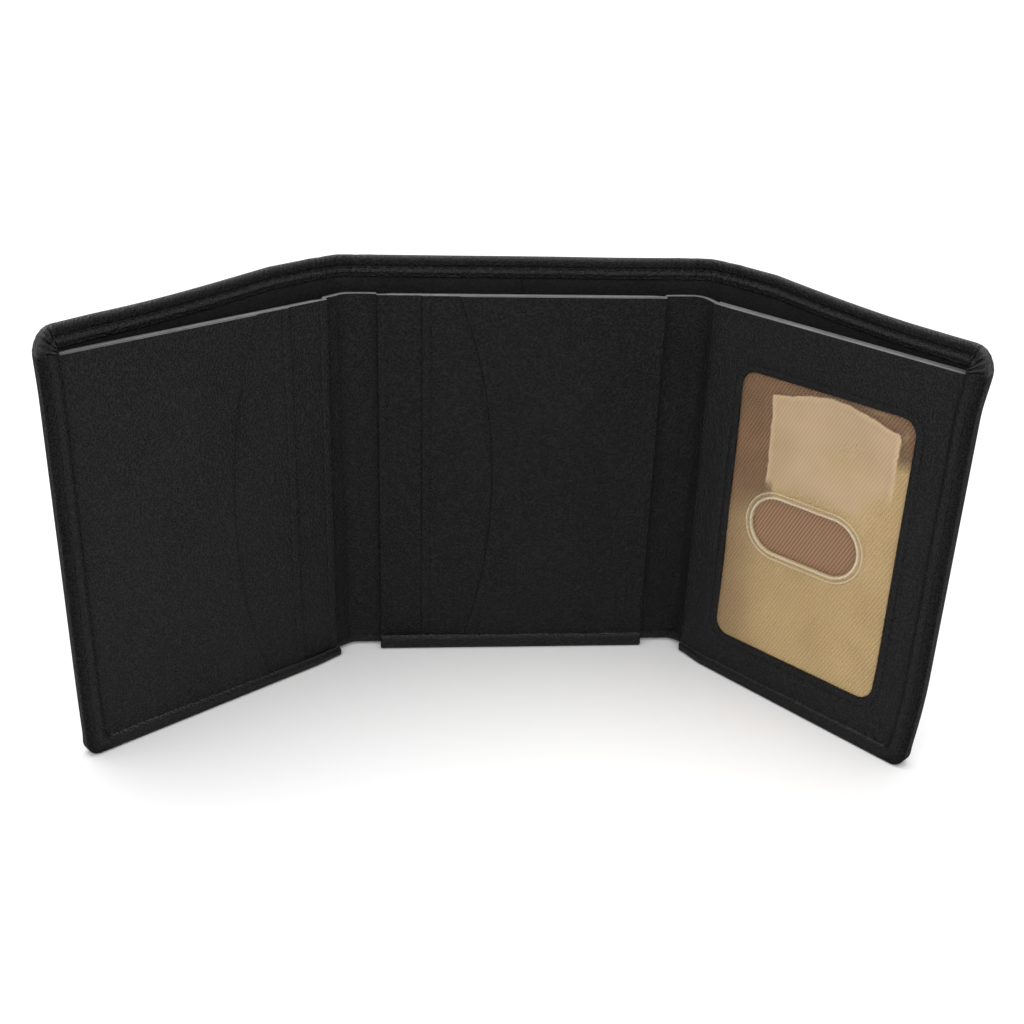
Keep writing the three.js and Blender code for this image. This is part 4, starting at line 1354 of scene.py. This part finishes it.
def add_camera():
    corner = Vector((*CENTRE.origin, 0))
    data = bpy.data.cameras.new("camera")
    data.lens, data.sensor_width = CAMERA_LENS, CAMERA_SENSOR
    data.clip_start, data.clip_end = 0.01, 50
    camera = bpy.data.objects.new("camera", data)
    bpy.context.scene.collection.objects.link(camera)
    yaw, pitch, roll = CAMERA_YAW, CAMERA_PITCH, CAMERA_ROLL
    forward = Vector((math.sin(yaw) * math.cos(pitch), math.cos(yaw) * math.cos(pitch), -math.sin(pitch)))
    level = Vector((math.cos(yaw), -math.sin(yaw), 0))
    upright = level.cross(forward)
    right = level * math.cos(roll) + upright * math.sin(roll)
    up = upright * math.cos(roll) - level * math.sin(roll)
    turn = Matrix((right, up, -forward)).transposed().to_4x4()
    camera.matrix_world = Matrix.Translation((corner + CAMERA_FROM_CORNER) * MM) @ turn
    bpy.context.scene.camera = camera


def add_sun(name, energy, direction, softness):
    data = bpy.data.lights.new(name, "SUN")
    data.energy, data.angle = energy, math.radians(softness)
    light = bpy.data.objects.new(name, data)
    bpy.context.scene.collection.objects.link(light)
    light.rotation_euler = Vector(direction).to_track_quat("-Z", "Y").to_euler()


def add_stage():
    g = Graph("floor")
    cloud = g.noise(g.object, 3.0, 2)
    g.set(
        Base_Color=g.mix(cloud, (0.88, 0.88, 0.88, 1), (0.92, 0.92, 0.92, 1)),
        Roughness=0.8, Specular_IOR_Level=0.1)
    line = np.linspace(-FLOOR_REACH, FLOOR_REACH, 13)
    x, y = grid(line, line)
    points = np.stack([x, y, np.full_like(x, FLOOR_LEVEL)], axis=-1)
    floor = make_piece("floor", points.reshape(-1, 3), grid_faces(13, 13), [g.material])
    for sun in SUNS:
        add_sun(*sun)
    world = bpy.data.worlds.new("studio")
    world.use_nodes = True
    background = world.node_tree.nodes["Background"]
    background.inputs["Color"].default_value = (1, 1, 1, 1)
    background.inputs["Strength"].default_value = SURROUND
    bpy.context.scene.world = world
    bpy.context.scene.view_settings.view_transform = "Standard"


# ---------------------------------------------------------------- putting it together

BORDERS = {"left": 4.9, "right": 5.0}  # widths of the flaps' turned ends
CENTRE_LIP = 4.0  # height of the turned bottom edge
FLAP_LIPS = {"left": (2.7, 3.9), "right": (3.0, 3.5)}  # the same on the flaps, at the fold and the corner
SIDE_SEAM = 2.4  # each seam's distance in from its edge
END_SEAM = 2.6
BOTTOM_SEAM = 1.9


def hem_line(wrap, end_s, beyond, depth, out):
    """The seam under the top edge, from the centre's middle to beyond the corner's start, at a depth
    from the shell's outer face. out is which way it faces."""
    s = steps(0.8, end_s - CORNER + beyond, 0.7)
    z = shell_top(wrap, end_s, s) - HEM_GROOVE
    n = shell_back(wrap, end_s, s, z) + depth
    path = wrap.place(s, n, z)
    return path, wrap.place(s, n + out, z) - path


def end_line(panel, end, height):
    """The stitches down a flap's turned end."""
    zs = steps(CORNER, height - CORNER - 2, 3.0)
    us = end - END_SEAM + flare(panel.body, END_SEAM, zs)
    return panel.place(us, BORDER_FRONT + 0.03, zs), panel.normals(len(zs))


def bottom_line(panel, start, end):
    """The stitches along a turned bottom edge."""
    us = steps(start + 1.5, end - 1, 1.0)
    return panel.place(us, BORDER_FRONT + 0.13, BOTTOM_SEAM), panel.normals(len(us))


def add_half(wrap):
    """The shell, its lining, its stitches, its turned edges and the gusset, from the middle outwards."""
    prefix, flap = wrap.name, wrap.flap
    whole = prefix == "left"  # the left half also stands for the centre's own CAD solids
    end = flap.extent(f"{prefix}_shell")[1] - END_TRIM[flap.body]
    end_s = wrap.s_of(end)
    shell = half_shell(wrap, end_s, BORDERS[prefix])
    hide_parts(f"{prefix}_shell", f"{prefix}_shell_fold", *(["centre_shell"] if whole else []))
    lining = shell_lining(wrap, end_s, f"shell_lining_{prefix}")
    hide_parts(f"{prefix}_shell_lining", *(["centre_shell_lining"] if whole else []))
    thread = sewn(f"hem_stitches_{prefix}", [
        stitch_run(*hem_line(wrap, end_s, -1, 0.3 - HEM_THICK, -1)),
        stitch_run(*hem_line(wrap, end_s, 1, -0.02, 1))])
    skin_start = wrap.place(wrap.middle - 3, STACK_BACK, 0)
    skin_end = wrap.place(wrap.s_of(12), STACK_BACK, 0)
    for piece in (shell, lining, thread):
        bend(piece, skin_start, skin_end)

    inner = Wrap(wrap.flap, BASE_FRONT + 1.4, GUSSET_BEND)
    flap_front = GUSSET_FRONT if prefix == "left" else BASE_FRONT + BASE_PLY + 0.02
    strip = gusset(inner, f"gusset_leather_{prefix}", (GUSSET_FRONT, flap_front))
    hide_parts(f"{prefix}_gusset")
    bend(strip, inner.place(inner.middle, BASE_FRONT, 0), inner.place(inner.s_of(0), BASE_FRONT, 0))

    turned = bottom_strip(
        f"turned_edge_{prefix}", flap.place, 0.0, end - CORNER, FLAP_LIPS[prefix], round_end=False)
    seams = [end_line(flap, end, END_TOP[flap.body]), bottom_line(flap, 0, end - CORNER)]
    if prefix == "right":
        seams.append(panel_line(flap, SIDE_SEAM, 3.5, STACK_TOP - 1.5, 0.06))
    thread = sewn(f"edge_stitches_{prefix}", [stitch_run(*seam, sunk=0.12) for seam in seams])
    for piece in (turned, thread):
        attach(piece, flap.body)


def bend(piece, start, end):
    """Bakes a piece's transform into its mesh. start and end are not used."""
    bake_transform(piece)


def build():
    add_camera()
    add_stage()
    for flap in (LEFT, RIGHT):
        add_half(Wrap(flap, SHELL_CLOSED, SHELL_BEND))

    turned = bottom_strip("turned_edge_centre", CENTRE.place, 0.0, WIDTH, (CENTRE_LIP, CENTRE_LIP))
    thread = sewn("edge_stitches_centre", [stitch_run(*line) for line in (
        bottom_line(CENTRE, 0, WIDTH),
        panel_line(CENTRE, SIDE_SEAM, 6.0, STACK_TOP - 1.5, 2 * CARD_STEP + 0.1),
        panel_line(CENTRE, WIDTH - SIDE_SEAM, 6.0, STACK_TOP - 1.5, 0.06))])
    for piece in (turned, thread):
        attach(piece, "centre_panel")

    flap_end = LEFT.extent("left_shell")[1] - END_TRIM["left_flap"] - FLAP_INSET
    for panel, prefix, end in ((LEFT, "left", flap_end), (CENTRE, "centre", WIDTH)):
        leathers, cloths = card_panel(panel, prefix, end, PLY_BOTTOM)
        cloths.append(divider(panel, prefix, end - 1, PLY_BOTTOM))
        for piece in leathers + cloths:
            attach(piece, panel.body)

    right_end = RIGHT.extent("right_shell")[1] - FLAP_INSET
    window = window_sides(RIGHT)
    leather_frame = window_frame(RIGHT, window, right_end, PLY_BOTTOM)
    clear = vinyl_sheet(RIGHT, window)
    rim = slot_rim(RIGHT)
    twill = twill_sheet(RIGHT, window)
    base = ply(
        "right_base_leather", RIGHT, straight_mouth(0.0), right_end, PLY_BOTTOM, BASE_FRONT, BASE_PLY,
        seed=24)
    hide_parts("right_pocket_base")
    cloth = divider(RIGHT, "right", right_end - 1, PLY_BOTTOM)
    for piece, name in (
        (leather_frame, "black_leather"), (clear, "clear_vinyl"), (rim, "clear_vinyl"),
        (twill, "brown_twill"), (base, "black_leather"), (cloth, "black_fabric"),
    ):
        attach(piece, RIGHT.body)


build()
